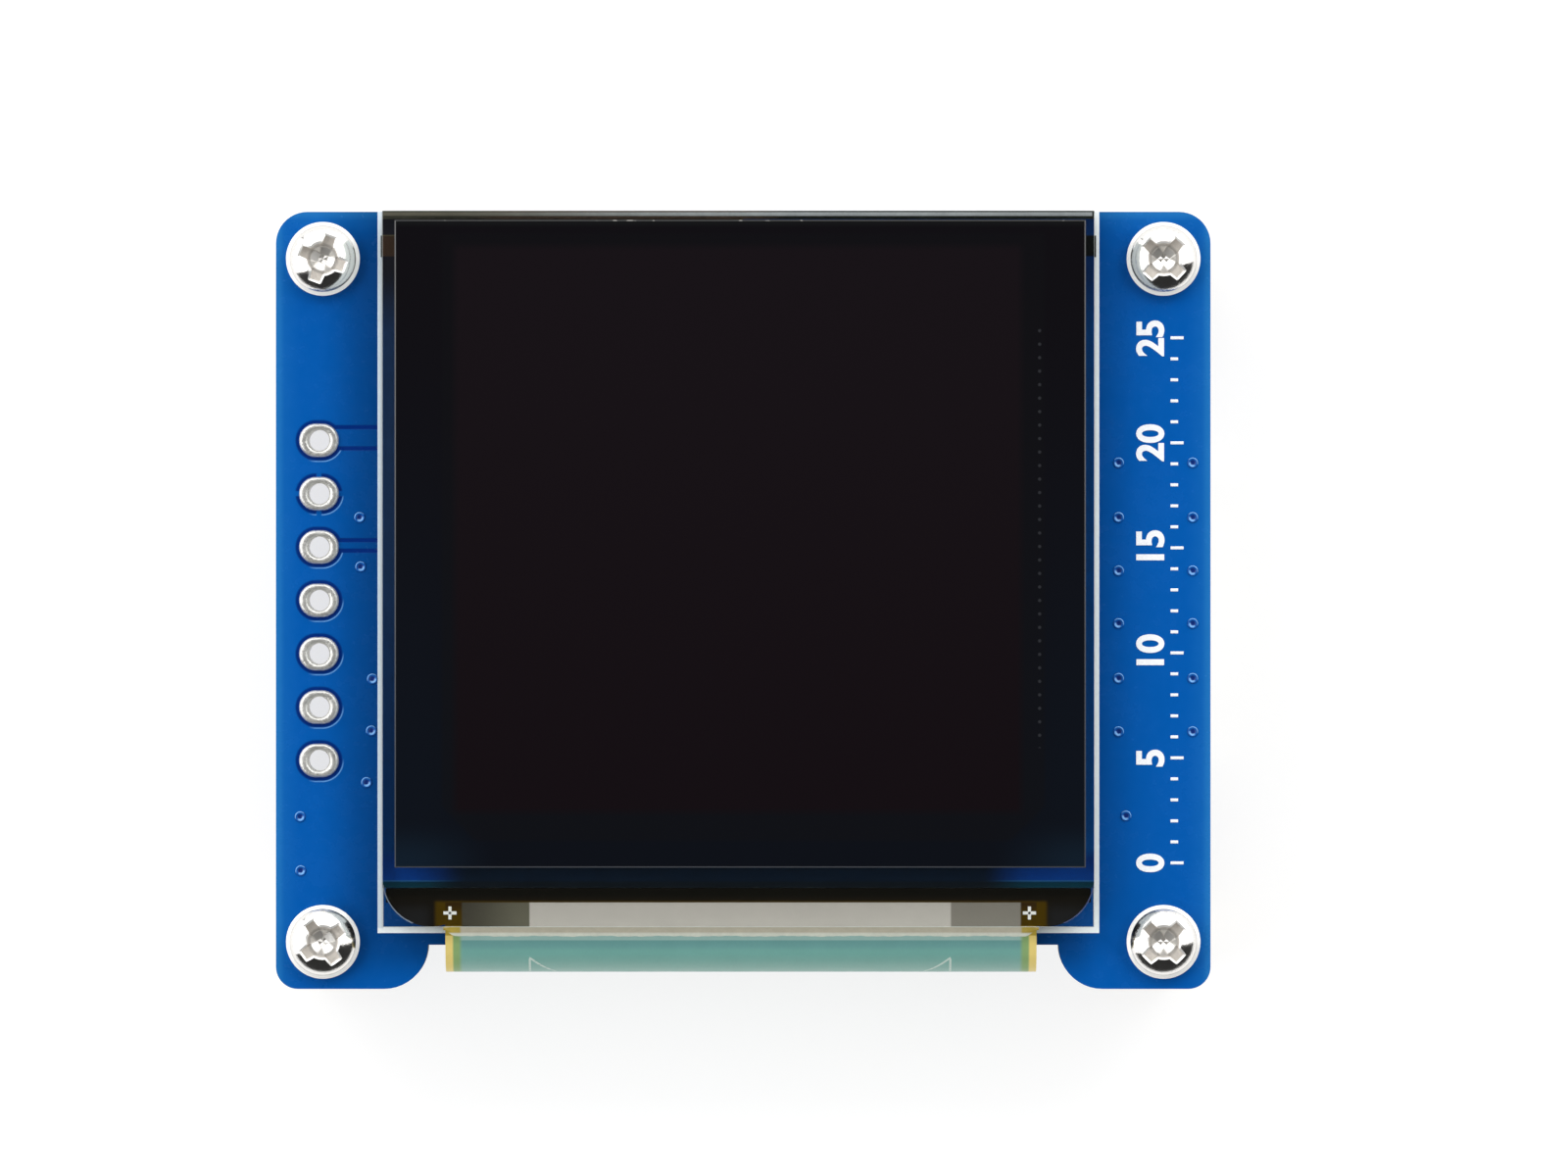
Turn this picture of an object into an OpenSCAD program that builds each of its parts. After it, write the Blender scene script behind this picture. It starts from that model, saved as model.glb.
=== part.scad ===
// Small square OLED display module, lying screen up on four hex standoffs.
// Origin: centre of the board outline, on the plane of the standoffs' feet.
// +Z is up and out of the screen, and -Y is the edge that the display's film folds round.

/* [Display panel] */
// Width of the front glass
panel_w = 33.8; // [28:0.1:41]
// Height of the front glass
panel_h = 34; // [28:0.1:41]
// Thickness of the front glass
front_glass_t = 0.7; // [0.5:0.05:1.1]
// Thickness of the back glass
back_glass_t = 0.65; // [0.5:0.05:1.1]
// Thickness of the seal between the two glasses
seal_t = 0.04; // [0.02:0.01:0.1]
// Width of the seal, all the way round
seal_w = 1.5; // [0.8:0.1:2]
// Depth of the front glass's ledge, past the back glass
ledge_d = 1.85; // [1.5:0.05:2.5]
// Thickness of the polarizer film
polarizer_t = 0.2; // [0.1:0.05:0.3]
// Bevel of the polarizer's cut edge
polarizer_bevel = 0.06; // [0.02:0.01:0.09]
// Thickness of the clear adhesive between two bonded layers
bond = 0.02; // [0.01:0.01:0.05]
// Opaque pixel array: its gap to the glass's left, right, top and bottom edges
array_gap = [2.83, 2.37, 1.1, 4.1];
// Polarizer: its gap to the glass's left, right, top and bottom edges
polarizer_gap = [0.59, 0.41, 0.44, 2.82];

/* [Circuit board] */
// Board beside the glass, on the header's side
margin_left = 5.12; // [5:0.01:7]
// Board beside the glass, on the far side
margin_right = 5.58; // [5:0.01:7]
// Board below the glass, with the notch in it
margin_bottom = 3; // [2.6:0.1:4]
// Thickness of the board
board_t = 1.6; // [1:0.1:2]
// Radius of the two top corners
corner_r = 1.5; // [0.5:0.1:2]
// Radius of the two bottom corners
foot_corner_r = 1.05; // [0.5:0.05:2]
// Depth of the notch in the bottom edge, and radius of its two round shoulders
notch_d = 2.1; // [1.6:0.1:2.3]
// Gap between the notch and the film, on each side
notch_gap = 0.95; // [0.4:0.05:1.5]
// Thickness of the tape that carries the display
tape_t = 0.4; // [0.2:0.05:0.8]

/* [Screws and standoffs] */
// Distance of each screw from the board's two edges
screw_inset = 2.25; // [2.2:0.05:2.4]
// Screw thread, outside diameter
thread_d = 2; // [1.6:0.1:2.2]
// Screw length under the head
screw_l = 4; // [3:0.5:5]
// Screw head diameter
head_d = 3.5; // [3:0.1:3.8]
// Screw head height
head_h = 1.3; // [1:0.1:1.6]
// Span of the cross recess
recess_span = 2.5; // [1.8:0.1:2.6]
// Width of an arm of the cross recess, at the level of the head's top
recess_arm = 0.8; // [0.5:0.02:0.86]
// Depth of the cross recess
recess_depth = 1.05; // [0.7:0.05:1.1]
// How far each screw happens to be turned, in degrees
recess_turn = [-20, 47, 35, 45];
// Standoff height
standoff_h = 6; // [5.8:0.2:10]
// Standoff width across its flats
standoff_af = 3.5; // [3.2:0.1:3.8]
// Diameter of the standoff's tapped bore
tap_d = 1.6; // [1.2:0.1:1.7]
// Depth of the free thread at the standoff's foot
tap_depth = 3.2; // [2.5:0.1:3.4]

/* [Header holes] */
// Number of header holes
header_n = 7; // [4:1:8]
// Header pitch
header_pitch = 2.54; // [2:0.27:2.54]
// Distance of the header row from the board's edge
header_inset = 2.05; // [1.8:0.05:2.3]
// Diameter of a plated hole
plated_d = 1; // [0.9:0.05:1.1]
// Length of an oval pad
pad_l = 1.9; // [1.7:0.05:2.1]
// Width of an oval pad
pad_w = 1.6; // [1.5:0.05:1.8]

/* [Film and its connector] */
// Width of the film where it is bonded to the glass
film_w = 28.1; // [24:0.1:28.4]
// Shift of the film from the middle of the glass
film_shift = 0.125; // [-0.5:0.005:0.5]
// Thickness of the film
film_t = 0.1; // [0.06:0.01:0.15]
// How far the folded film stands out past the glass
film_reach = 2.2; // [2.1:0.05:2.4]
// Gap between the board and the film under it
film_gap = 0.5; // [0.45:0.05:0.6]
// Length of film that is bonded to the ledge
bond_l = 1.15; // [0.9:0.05:1.2]
// Number of contacts
contact_n = 30; // [20:1:34]
// Contact pitch
contact_pitch = 0.5; // [0.4:0.1:0.5]
// Latch opening angle
latch_open = 90; // [60:5:90]
// Position of the latch between closed (0) and open (1)
latch_pose = 0; // [0:0.1:1]

/* [Wire connector] */
// Number of wires
wire_n = 7; // [4:1:7]
// Wire pitch
wire_pitch = 2; // [1.5:0.5:2]
// Height of the housing
socket_h = 5.3; // [4.8:0.1:5.6]
// Depth of the housing, from its mouth to its back
socket_d = 7.6; // [6:0.1:8]
// Wall of the housing
socket_wall = 0.75; // [0.5:0.05:0.9]

/* [Hidden] */
$fn = 64;
eps = 0.01;
clear = 0.05;               // gap between two pieces that only slip past each other

// outline of the board, from the glass and the margins round it
board_w = margin_left + panel_w + margin_right;
board_h = margin_bottom + panel_h;
panel_x = -board_w / 2 + margin_left;
panel_y = -board_h / 2 + margin_bottom;
panel_top = panel_y + panel_h;
film_x = panel_x + (panel_w - film_w) / 2 + film_shift;
notch_w = film_w + 2 * notch_gap;

// heights of the stack, from the foot upwards
board_z = standoff_h;
tape_z = board_z + board_t;
back_glass_z = tape_z + tape_t + bond;
seal_z = back_glass_z + back_glass_t + bond;
front_glass_z = seal_z + seal_t + bond;
polarizer_z = front_glass_z + front_glass_t + bond;

// the inside of the sealed panel
pocket_depth = 0.3;
pocket_inset = seal_w + 0.2;
desiccant_t = 0.2;
desiccant_inset = pocket_inset + 1.6;
array_t = 0.04;

// tape under the display
tape_strip_h = 1.02;
tape_strip_top = 1.14;
tape_tab = 0.12;             // how far the strip sticks out beside the glass
tape_pad_side = 3.4;
tape_pad_h = panel_h / 4;
tape_pads = [0.35, 0.72];   // middle of each broad pad, as a part of the way down the glass

// dark sealant under the ledge, beside the film and above it
sealant_h = 0.6;
sealant_side = 0.15;
sealant_lobe_r = 2.3;
sealant_lobe_x = 2.3;
sealant_lobe_y = 2.3;

// screws
corners = [[-1, 1], [1, 1], [-1, -1], [1, -1]];
screw_x = board_w / 2 - screw_inset;
screw_y = board_h / 2 - screw_inset;
screw_hole_r = thread_d / 2 + 0.1;
head_rim = 0.3;
recess_core_r = 0.98;
recess_floor_r = 0.34;
recess_foot = 0.36;          // width of an arm at the bottom of the pit
recess_pit_r = 0.62;
recess_wall_lean = 0.12;
recess_ledge = [0.55, 0.7];  // ledge of an arm, outer and inner edge, as parts of the depth
tip_taper = 0.3;
foot_chamfer = 0.15;

// plated holes
header_x = -board_w / 2 + header_inset;
plating = 0.05;
pad_t = 0.12;
pad_under_t = 0.12;
pad_lip = 0.1;

// folded film
film_top_z = front_glass_z - bond;
film_low_z = board_z - film_gap - film_t;
fold_r = (film_top_z - film_low_z) / 2;
fold_y = panel_y - film_reach + fold_r;
fold_z = film_low_z + fold_r;
tail_w = contact_n * contact_pitch + 0.5;
tail_x = film_x + (film_w - tail_w) / 2;
wide_l = 6.4;
taper_l = 1.5;
stiffener_t = 0.2;
stiffener_out = 1.5;

// driver chip on the outside of the folded film
chip_w = 13;
chip_l = 1.5;
chip_t = 0.3;
chip_y = fold_y + 3.4;

// film connector, in its own frame: y runs from its mouth to its back, z away from the board
conn_x = tail_x + tail_w / 2;
conn_y = panel_y + 9;
conn_ear = 0.9;
conn_journal = 0.5;
conn_side = 1.0;
latch_l = tail_w + 2 * conn_side;
conn_w = latch_l + 2 * (conn_ear + clear);
conn_d = 4.3;
conn_h = 1.9;
conn_front = 2.3;
conn_insert = 2.6;
conn_chamfer = 0.2;
slot_low = film_gap - stiffener_t - clear;
slot_high = film_gap + film_t + 4 * clear;
slot_end = conn_insert + 2 * clear;
mouth_l = 0.3;
mouth_low = 0.1;
mouth_high = 0.25;
channel_y = 0.75;
beam_t = 0.14;
beam_gap = 0.02;
beam_low = slot_high - 3 * beam_gap;
beam_high = beam_low + beam_t;
floor_h = beam_high + 2 * beam_gap;
contact_w = 0.2;
contact_tip_y = 0.9;
contact_tip_l = 0.3;
contact_slope = 0.2;
contact_rise = 0.15;
contact_rear = conn_d + 0.03;
contact_foot = 0.72;
contact_foot_t = 0.12;
pivot_y = conn_front + 0.65;
pivot_z = conn_h - 0.5;
latch_cam_r = pivot_z - floor_h - 3 * beam_gap;
journal_r = 0.25;
latch_reach = 1.45;
latch_low = 0.33;
latch_high = conn_h - pivot_z;
latch_step = 0.1;
latch_edge = 0.15;
latch_bevel = 0.25;
relief_y = 0.45;
relief_l = 0.6;
conn_tab = [0.9, 1.6, 0.15];
conn_tab_y = 0.4;
conn_neck_l = 1;
conn_neck_h = 0.9;

// wire connector, in its own frame: x runs from its back to its mouth, z away from the board
socket_back = 1.5;
socket_end = 1.95;
socket_edge = 0.25;
socket_step = 0.5;
socket_w = (wire_n - 1) * wire_pitch + 2 * socket_end;
socket_x = board_w / 2 - socket_edge - socket_d;
key_w = 1;
key_l = 4.2;
key_inset = 2.6;
window_l = 2.6;
window_h = 1.6;
pin_w = 0.5;
pin_z = socket_h / 2;
pin_foot = 1.5;
pin_bend = 0.3;
pin_tip = 0.12;
pin_end = socket_d - 1.4;
tab = [3, 1.2, 0.3];
tab_x = socket_d / 2 + 0.4;
tab_neck_l = 2.2;
tab_neck_h = 1.8;

// small parts on the back, measured from the board's top edge
back_top = board_h / 2;
inductor_at = [-11.6, back_top - 9];
inductor_w = 4;
inductor_h = 1.9;
inductor_r = 0.6;
inductor_lift = 0.1;
groove_r = 1.68;
groove_w = 0.24;
groove_depth = 0.25;
terminal = [1, 1.6, 0.3];
diode_at = [-11.6, back_top - 4];
booster_at = [-6.4, back_top - 8.4];
regulator_at = [7.2, back_top - 9];
shifter_at = [0.4, back_top - 8.4];
lead_t = 0.13;
chip_lift = 0.1;
chip_draft = 0.12;
diode = [2.7, 1.6, 1.1];
diode_lead = [0.6, 0.5, 0.55, 0.3];             // each lead: width, height, reach and foot
five_lead = [2.9, 1.6, 1.1];
five_lead_pitch = 0.95;
five_lead_lead = [0.4, 0.55, 0.6, 0.35];
shifter = [6.5, 4.4, 1];
shifter_pitch = 0.65;
shifter_n = 10;
shifter_lead = [0.25, 0.5, 1, 0.55];
mark_r = 0.3;
mark_inset = 0.8;
mark_depth = 0.06;
// each capacitor and resistor: x, y and how far it is turned
capacitor_at = [
    [-6.4, back_top - 3.6, 0],
    [-6.4, back_top - 5.2, 0],
    [-14.6, back_top - 6.4, 90],
    [-14.6, back_top - 9.4, 90],
    [4.8, back_top - 5.6, 90],
    [7.2, back_top - 5.4, 0],
    [9.9, back_top - 9, 90]
];
resistor_at = [
    [-1.8, back_top - 3.2, 90],
    [-0.4, back_top - 3.2, 90],
    [1, back_top - 3.2, 90],
    [2.4, back_top - 3.2, 90],
    [-6.4, back_top - 11.6, 0],
    [7.2, back_top - 12.2, 0]
];
chip_part = [1.6, 0.8];
cap_t = 0.8;
resistor_t = 0.5;
end_l = 0.3;
end_step = 0.03;

HEADER_PADS = [for (i = [1:header_n]) str("header_pad_", i)];
STANDOFFS = [for (i = [1:len(corners)]) str("standoff_", i)];

// ---------- shared shapes ----------

// Rectangle with round corners, its radii given as [bottom, top]
module rounded_plate(w, h, radii) {
    for (side = [-1, 1], level = [0, 1])
        translate([side * (w / 2 - radii[level]), (2 * level - 1) * (h / 2 - radii[level])])
            circle(r = radii[level]);
    polygon([
        [-w / 2 + radii[0], -h / 2], [w / 2 - radii[0], -h / 2],
        [w / 2, -h / 2 + radii[0]], [w / 2, h / 2 - radii[1]],
        [w / 2 - radii[1], h / 2], [-w / 2 + radii[1], h / 2],
        [-w / 2, h / 2 - radii[1]], [-w / 2, -h / 2 + radii[0]]
    ]);
}

// Places of n things in a row, a pitch apart and centred on 0
function row_of(n, pitch) = [for (i = [0:n - 1]) (i - (n - 1) / 2) * pitch];

// A sheet of the panel, from its gaps [left, right, top, bottom] to the glass's edges
module panel_sheet(gaps, z, t)
    translate([panel_x + gaps[0], panel_y + gaps[3], z])
        cube([panel_w - gaps[0] - gaps[1], panel_h - gaps[2] - gaps[3], t]);

// What is mounted under the board, drawn with z running away from the board
module under_board(at)
    translate([at[0], at[1], board_z])
        mirror([0, 0, 1])
            children();

// A profile in y and z, carried along x and centred on it
module along_x(l)
    translate([-l / 2, 0, 0])
        rotate([90, 0, 90])
            linear_extrude(l)
                children();

// A profile in x and z, carried along y and centred on it
module along_y(l)
    translate([0, l / 2, 0])
        rotate([90, 0, 0])
            linear_extrude(l)
                children();

// Moulded chip body: its lower and upper halves lean in by the mould's draft
module chip_body(size)
    translate([0, 0, chip_lift])
        intersection() {
            along_x(size[0])
                draft_section(size[1], size[2]);
            along_y(size[1])
                draft_section(size[0], size[2]);
        }

module draft_section(w, h)
    polygon([[-w / 2 + chip_draft, 0], [w / 2 - chip_draft, 0], [w / 2, h / 2],
             [w / 2 - chip_draft, h], [-w / 2 + chip_draft, h], [-w / 2, h / 2]]);

// Gull-wing lead in y and z, from the body's side at y = 0 out to its foot
module gull_wing(high, reach, foot)
    polygon([[0, high + lead_t], [0, high], [reach - foot - lead_t, high], [reach - foot - lead_t, 0],
             [reach, 0], [reach, lead_t], [reach - foot, lead_t], [reach - foot, high + lead_t]]);

// Leads [width, height, reach, foot] along one side of a chip body of width l, at the given places
module lead_row(places, l, lead, side)
    for (x = places)
        translate([x, side * l / 2, 0])
            mirror([0, side < 0 ? 1 : 0, 0])
                along_x(lead[0])
                    gull_wing(lead[1], lead[2], lead[3]);

// ---------- board ----------

// Notch in the bottom edge, which leaves two feet with round shoulders
module board_notch() {
    translate([-notch_w / 2, -board_h / 2 - eps])
        square([notch_w, notch_d + eps]);
    for (side = [-1, 1])
        translate([side * (notch_w / 2 + notch_d / 2), -board_h / 2 + notch_d / 2])
            difference() {
                translate([-side * eps / 2, -eps / 2])
                    square([notch_d + eps, notch_d + eps], center = true);
                translate([side * notch_d / 2, notch_d / 2])
                    circle(r = notch_d);
            }
}

module pcb()
    color("#0b57a4")
        translate([0, 0, board_z])
            linear_extrude(board_t)
                difference() {
                    rounded_plate(board_w, board_h, [foot_corner_r, corner_r]);
                    board_notch();
                    for (c = corners)
                        translate([c[0] * screw_x, c[1] * screw_y])
                            circle(r = screw_hole_r);
                    for (i = [1:header_n])
                        translate([header_x, header_y(i)])
                            circle(r = plated_d / 2 + plating);
                }

// Header holes run down from the top one
function header_y(i) = ((header_n + 1) / 2 - i) * header_pitch;

// Tinned oval pad with a rounded rim, at the height of its foot
module oval_pad(t) {
    straight = (pad_l - pad_w) / 2;
    for (side = [0, 1])
        mirror([side, 0, 0])
            translate([-straight, 0, 0]) {
                rotate([0, 0, 90])
                    rotate_extrude(angle = 180)
                        pad_section(t);
                rotate([90, 0, 90])
                    linear_extrude(straight + eps)
                        union() {
                            pad_section(t);
                            mirror([1, 0])
                                pad_section(t);
                        }
            }
}

// Half section of the pad: flat under, quarter-round rim
module pad_section(t) {
    square([pad_w / 2 - t, t]);
    intersection() {
        translate([pad_w / 2 - t, 0])
            circle(r = t);
        translate([pad_w / 2 - t, 0])
            square(t);
    }
}

// Plated hole: a barrel through the board with an oval pad on each face
module header_pad(i)
    color("#d9dadb")
        translate([header_x, header_y(i), 0])
            difference() {
                union() {
                    translate([0, 0, board_z])
                        cylinder(h = board_t, r = plated_d / 2 + plating);
                    translate([0, 0, tape_z])
                        oval_pad(pad_t);
                    translate([0, 0, board_z])
                        mirror([0, 0, 1])
                            oval_pad(pad_under_t);
                }
                translate([0, 0, board_z - pad_under_t - eps])
                    cylinder(h = board_t + pad_t + pad_under_t + 2 * eps, r = plated_d / 2);
                for (end = [0, 1])
                    translate([0, 0, end == 0 ? board_z - pad_under_t : tape_z + pad_t])
                        mirror([0, 0, end == 0 ? 1 : 0])
                            hole_lip();
            }

// Rounded lip of the plated hole, cut down from the pad's face
module hole_lip()
    rotate_extrude()
        difference() {
            translate([0, -pad_lip])
                square([plated_d / 2 + pad_lip, 2 * pad_lip]);
            translate([plated_d / 2 + pad_lip, -pad_lip])
                circle(r = pad_lip);
        }

// ---------- screws and standoffs ----------

// Pan head: an upright rim and a dome over it
module pan_head() {
    rise = head_h - head_rim;
    dome_r = (rise * rise + head_d * head_d / 4) / (2 * rise);
    cylinder(h = head_rim, r = head_d / 2);
    translate([0, 0, head_rim])
        intersection() {
            translate([0, 0, rise - dome_r])
                sphere(r = dome_r);
            cylinder(h = head_h, r = head_d / 2);
        }
}

// Cross recess, measured down from the top of the head: four arms with steep end walls and a sloping
// ledge, whose floors meet in a shallow pit, round a tapered core
module cross_recess() {
    side = recess_arm / 2;
    foot = recess_foot / 2;
    for (turn = [0, 90])
        rotate([0, 0, turn])
            intersection() {
                along_y(recess_arm)
                    recess_section();
                along_x(recess_span)
                    polygon([[-side, eps], [-foot, -recess_depth], [foot, -recess_depth], [side, eps]]);
            }
    core_d = recess_ledge[1] * recess_depth;
    translate([0, 0, -core_d])
        cylinder(h = core_d + eps, r1 = recess_floor_r, r2 = recess_core_r);
}

// Two opposite arms of the recess, seen from the side
module recess_section() {
    top = recess_span / 2;
    outer = -recess_ledge[0] * recess_depth;
    inner = -recess_ledge[1] * recess_depth;
    polygon([
        [-top, eps], [-top + recess_wall_lean, outer], [-recess_pit_r, inner], [0, -recess_depth],
        [recess_pit_r, inner], [top - recess_wall_lean, outer], [top, eps]
    ]);
}

module pan_screw() {
    difference() {
        union() {
            pan_head();
            translate([0, 0, -screw_l + tip_taper])
                cylinder(h = screw_l - tip_taper, r = thread_d / 2);
            translate([0, 0, -screw_l])
                cylinder(h = tip_taper, r1 = thread_d / 2 - tip_taper, r2 = thread_d / 2);
        }
        translate([0, 0, head_h])
            cross_recess();
    }
}

module screws()
    color("#e2e1df")
        for (i = [0:len(corners) - 1])
            translate([corners[i][0] * screw_x, corners[i][1] * screw_y, tape_z])
                rotate([0, 0, recess_turn[i]])
                    pan_screw();

// Hex standoff: free thread at the foot, and the screw's own thread above it
module standoff(i)
    color("#d8c27a")
        translate([corners[i - 1][0] * screw_x, corners[i - 1][1] * screw_y, 0])
            difference() {
                intersection() {
                    cylinder(h = standoff_h, d = standoff_af / cos(30), $fn = 6);
                    standoff_turned();
                }
                translate([0, 0, -eps])
                    cylinder(h = tap_depth + 2 * eps, r = tap_d / 2);
                translate([0, 0, tap_depth])
                    cylinder(h = standoff_h, r = thread_d / 2 + clear / 2);
                translate([0, 0, -eps])
                    cylinder(h = foot_chamfer, r1 = tap_d / 2 + foot_chamfer, r2 = tap_d / 2);
            }

// Turned envelope that rounds off the hexagon's corners at both ends
module standoff_turned() {
    corner = standoff_af / 2 / cos(30);
    slope = corner - standoff_af / 2;
    cylinder(h = slope, r1 = standoff_af / 2, r2 = corner);
    translate([0, 0, slope])
        cylinder(h = standoff_h - 2 * slope, r = corner + eps);
    translate([0, 0, standoff_h - slope])
        cylinder(h = slope, r1 = corner, r2 = standoff_af / 2);
}

// ---------- display panel ----------

// Polarizer, cut from the face down so that its upper edge is bevelled
module polarizer() {
    w = panel_w - polarizer_gap[0] - polarizer_gap[1];
    h = panel_h - polarizer_gap[2] - polarizer_gap[3];
    color("#14171b")
        translate([panel_x + polarizer_gap[0] + w / 2, panel_y + polarizer_gap[3] + h / 2, polarizer_z])
            intersection() {
                along_x(w)
                    bevelled_section(h);
                along_y(h)
                    bevelled_section(w);
            }
}

module bevelled_section(w)
    polygon([
        [-w / 2, 0], [w / 2, 0], [w / 2, polarizer_t - polarizer_bevel],
        [w / 2 - polarizer_bevel, polarizer_t], [-w / 2 + polarizer_bevel, polarizer_t],
        [-w / 2, polarizer_t - polarizer_bevel]
    ]);

module front_glass()
    color("#9fb8c4", 0.4)
        panel_sheet([0, 0, 0, 0], front_glass_z, front_glass_t);

module pixel_array()
    color("#17151a")
        panel_sheet(array_gap, front_glass_z - array_t, array_t);

// Adhesive frame between the two glasses
module glass_seal()
    color("#3b4750")
        difference() {
            panel_sheet([0, 0, 0, ledge_d], seal_z, seal_t);
            panel_sheet([seal_w, seal_w, seal_w / 2, ledge_d + seal_w], seal_z - eps, seal_t + 2 * eps);
        }

// Back glass with the shallow pocket that keeps the pixels dry
module back_glass()
    color("#8fa9b8", 0.5)
        difference() {
            panel_sheet([0, 0, 0, ledge_d], back_glass_z, back_glass_t);
            panel_sheet([pocket_inset, pocket_inset, pocket_inset, ledge_d + pocket_inset],
                        seal_z - pocket_depth, pocket_depth + eps);
        }

module desiccant_sheet()
    color("#e8e6df")
        panel_sheet([desiccant_inset, desiccant_inset, desiccant_inset, ledge_d + desiccant_inset],
                    seal_z - pocket_depth, desiccant_t);

// Tape under the back glass: a narrow strip along the top, whose ends stick out, and two broad pads
module display_tape()
    color("#26221f") {
        panel_sheet([-tape_tab, -tape_tab, tape_strip_top, panel_h - tape_strip_top - tape_strip_h],
                    tape_z, tape_t);
        for (part = tape_pads)
            translate([panel_x + tape_pad_side, panel_top - part * panel_h - tape_pad_h / 2, tape_z])
                cube([panel_w - 2 * tape_pad_side, tape_pad_h, tape_t]);
    }

// Dark sealant along the back glass's lower edge, with a lobe in each corner of the ledge
module ledge_sealant() {
    bond_top = panel_y + bond_l;
    ledge_top = panel_y + ledge_d - bond;
    color("#1d150f")
        translate([0, 0, front_glass_z - bond - sealant_h])
            linear_extrude(sealant_h) {
                translate([panel_x + sealant_side, bond_top])
                    square([panel_w - 2 * sealant_side, ledge_top - bond_top]);
                for (side = [0, 1])
                    translate([side * (2 * panel_x + panel_w), 0])
                        mirror([side, 0])
                            sealant_lobe(side == 0 ? film_x : 2 * panel_x + panel_w - film_x - film_w,
                                         bond_top);
            }
}

// One round-ended lobe, between the film's edge at x = inner and the corner of the ledge
module sealant_lobe(inner, top)
    intersection() {
        translate([panel_x + sealant_lobe_x, panel_y + sealant_lobe_y])
            circle(r = sealant_lobe_r);
        translate([panel_x, panel_y])
            square([inner - panel_x, top - panel_y]);
    }

// ---------- film ----------

// Film from its bond on the ledge, round the board's edge and back under it to the connector
module display_film()
    color("#8fb5a8") {
        translate([film_x, fold_y, film_top_z - film_t])
            cube([film_w, panel_y + bond_l - fold_y, film_t]);
        translate([film_x, fold_y, fold_z])
            rotate([0, 90, 0])
                rotate([0, 0, 180])
                    rotate_extrude(angle = 180)
                        translate([fold_r - film_t, 0])
                            square([film_t, film_w]);
        translate([0, 0, film_low_z])
            linear_extrude(film_t)
                polygon([
                    [film_x, fold_y], [film_x + film_w, fold_y],
                    [film_x + film_w, fold_y + wide_l],
                    [tail_x + tail_w, fold_y + wide_l + taper_l],
                    [tail_x + tail_w, conn_y + conn_insert], [tail_x, conn_y + conn_insert],
                    [tail_x, fold_y + wide_l + taper_l], [film_x, fold_y + wide_l]
                ]);
    }

module driver_chip()
    color("#2b2d31")
        translate([film_x + (film_w - chip_w) / 2, chip_y - chip_l / 2, film_low_z - chip_t])
            cube([chip_w, chip_l, chip_t]);

module tail_stiffener()
    color("#c98a2e")
        translate([tail_x, conn_y - stiffener_out, film_low_z + film_t])
            cube([tail_w, stiffener_out + conn_insert, stiffener_t]);

// ---------- film connector ----------

contact_places = row_of(contact_n, contact_pitch);

// Contact in y and z: solder foot, riser, and a beam over the film with a dimple at its tip
module contact_profile() {
    dimple = film_gap + film_t + eps;
    polygon([
        [contact_tip_y, beam_high], [contact_tip_y, dimple], [contact_tip_y + contact_tip_l, dimple],
        [contact_tip_y + contact_tip_l + contact_slope, beam_low], [contact_rear, beam_low],
        [contact_rear, 0], [contact_rear + contact_foot, 0], [contact_rear + contact_foot, contact_foot_t],
        [contact_rear + contact_rise, contact_foot_t], [contact_rear + contact_rise, beam_high]
    ]);
}

module film_connector_housing()
    color("#ece7d8")
        under_board([conn_x, conn_y])
            difference() {
                along_x(conn_w)
                    polygon([[0, 0], [conn_d, 0], [conn_d, conn_h],
                             [conn_chamfer, conn_h], [0, conn_h - conn_chamfer]]);
                // mouth for the film's tail, with a lead-in
                along_x(tail_w + 4 * clear)
                    polygon([
                        [-eps, slot_low - mouth_low], [mouth_l, slot_low],
                        [slot_end, slot_low], [slot_end, slot_high],
                        [mouth_l, slot_high], [-eps, slot_high + mouth_high]
                    ]);
                // one channel for each contact
                for (x = contact_places)
                    translate([x, 0, 0])
                        along_x(contact_w + clear)
                            polygon([[channel_y, slot_low + clear], [conn_insert, slot_low + clear],
                                     [conn_insert, beam_low - beam_gap], [conn_d + eps, beam_low - beam_gap],
                                     [conn_d + eps, floor_h], [channel_y, floor_h]]);
                // bay for the latch, between the two ears
                translate([-latch_l / 2 - clear, conn_front, floor_h])
                    cube([latch_l + 2 * clear, conn_d, conn_h]);
                // bearings for the latch's journals
                for (side = [-1, 1])
                    translate([side * (latch_l / 2 + clear + conn_journal / 2), pivot_y, pivot_z])
                        rotate([0, 90, 0])
                            cylinder(h = conn_journal + 4 * clear, r = journal_r + clear, center = true);
            }

// Latch closed at turn 0, lifted from the board's side by its rear edge as it opens
module film_connector_latch() {
    turn = latch_pose * latch_open;
    color("#33302d")
        under_board([conn_x, conn_y])
            translate([0, pivot_y, pivot_z])
                rotate([turn, 0, 0]) {
                    difference() {
                        union() {
                            along_x(latch_l)
                                circle(r = latch_cam_r);
                            along_x(latch_l)
                                polygon([
                                    [-latch_step, 0], [0, -latch_low],
                                    [latch_reach - latch_edge, -latch_low],
                                    [latch_reach, -latch_low + latch_edge],
                                    [latch_reach, latch_high - latch_bevel],
                                    [latch_reach - latch_bevel, latch_high], [-latch_step, latch_high]
                                ]);
                        }
                        // relief over each contact
                        for (x = contact_places)
                            translate([x - contact_w / 2 - clear, relief_y, -latch_low - eps])
                                cube([contact_w + 2 * clear, relief_l, latch_edge]);
                    }
                    rotate([0, 90, 0])
                        cylinder(h = latch_l + 2 * conn_journal, r = journal_r, center = true);
                }
}

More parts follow.
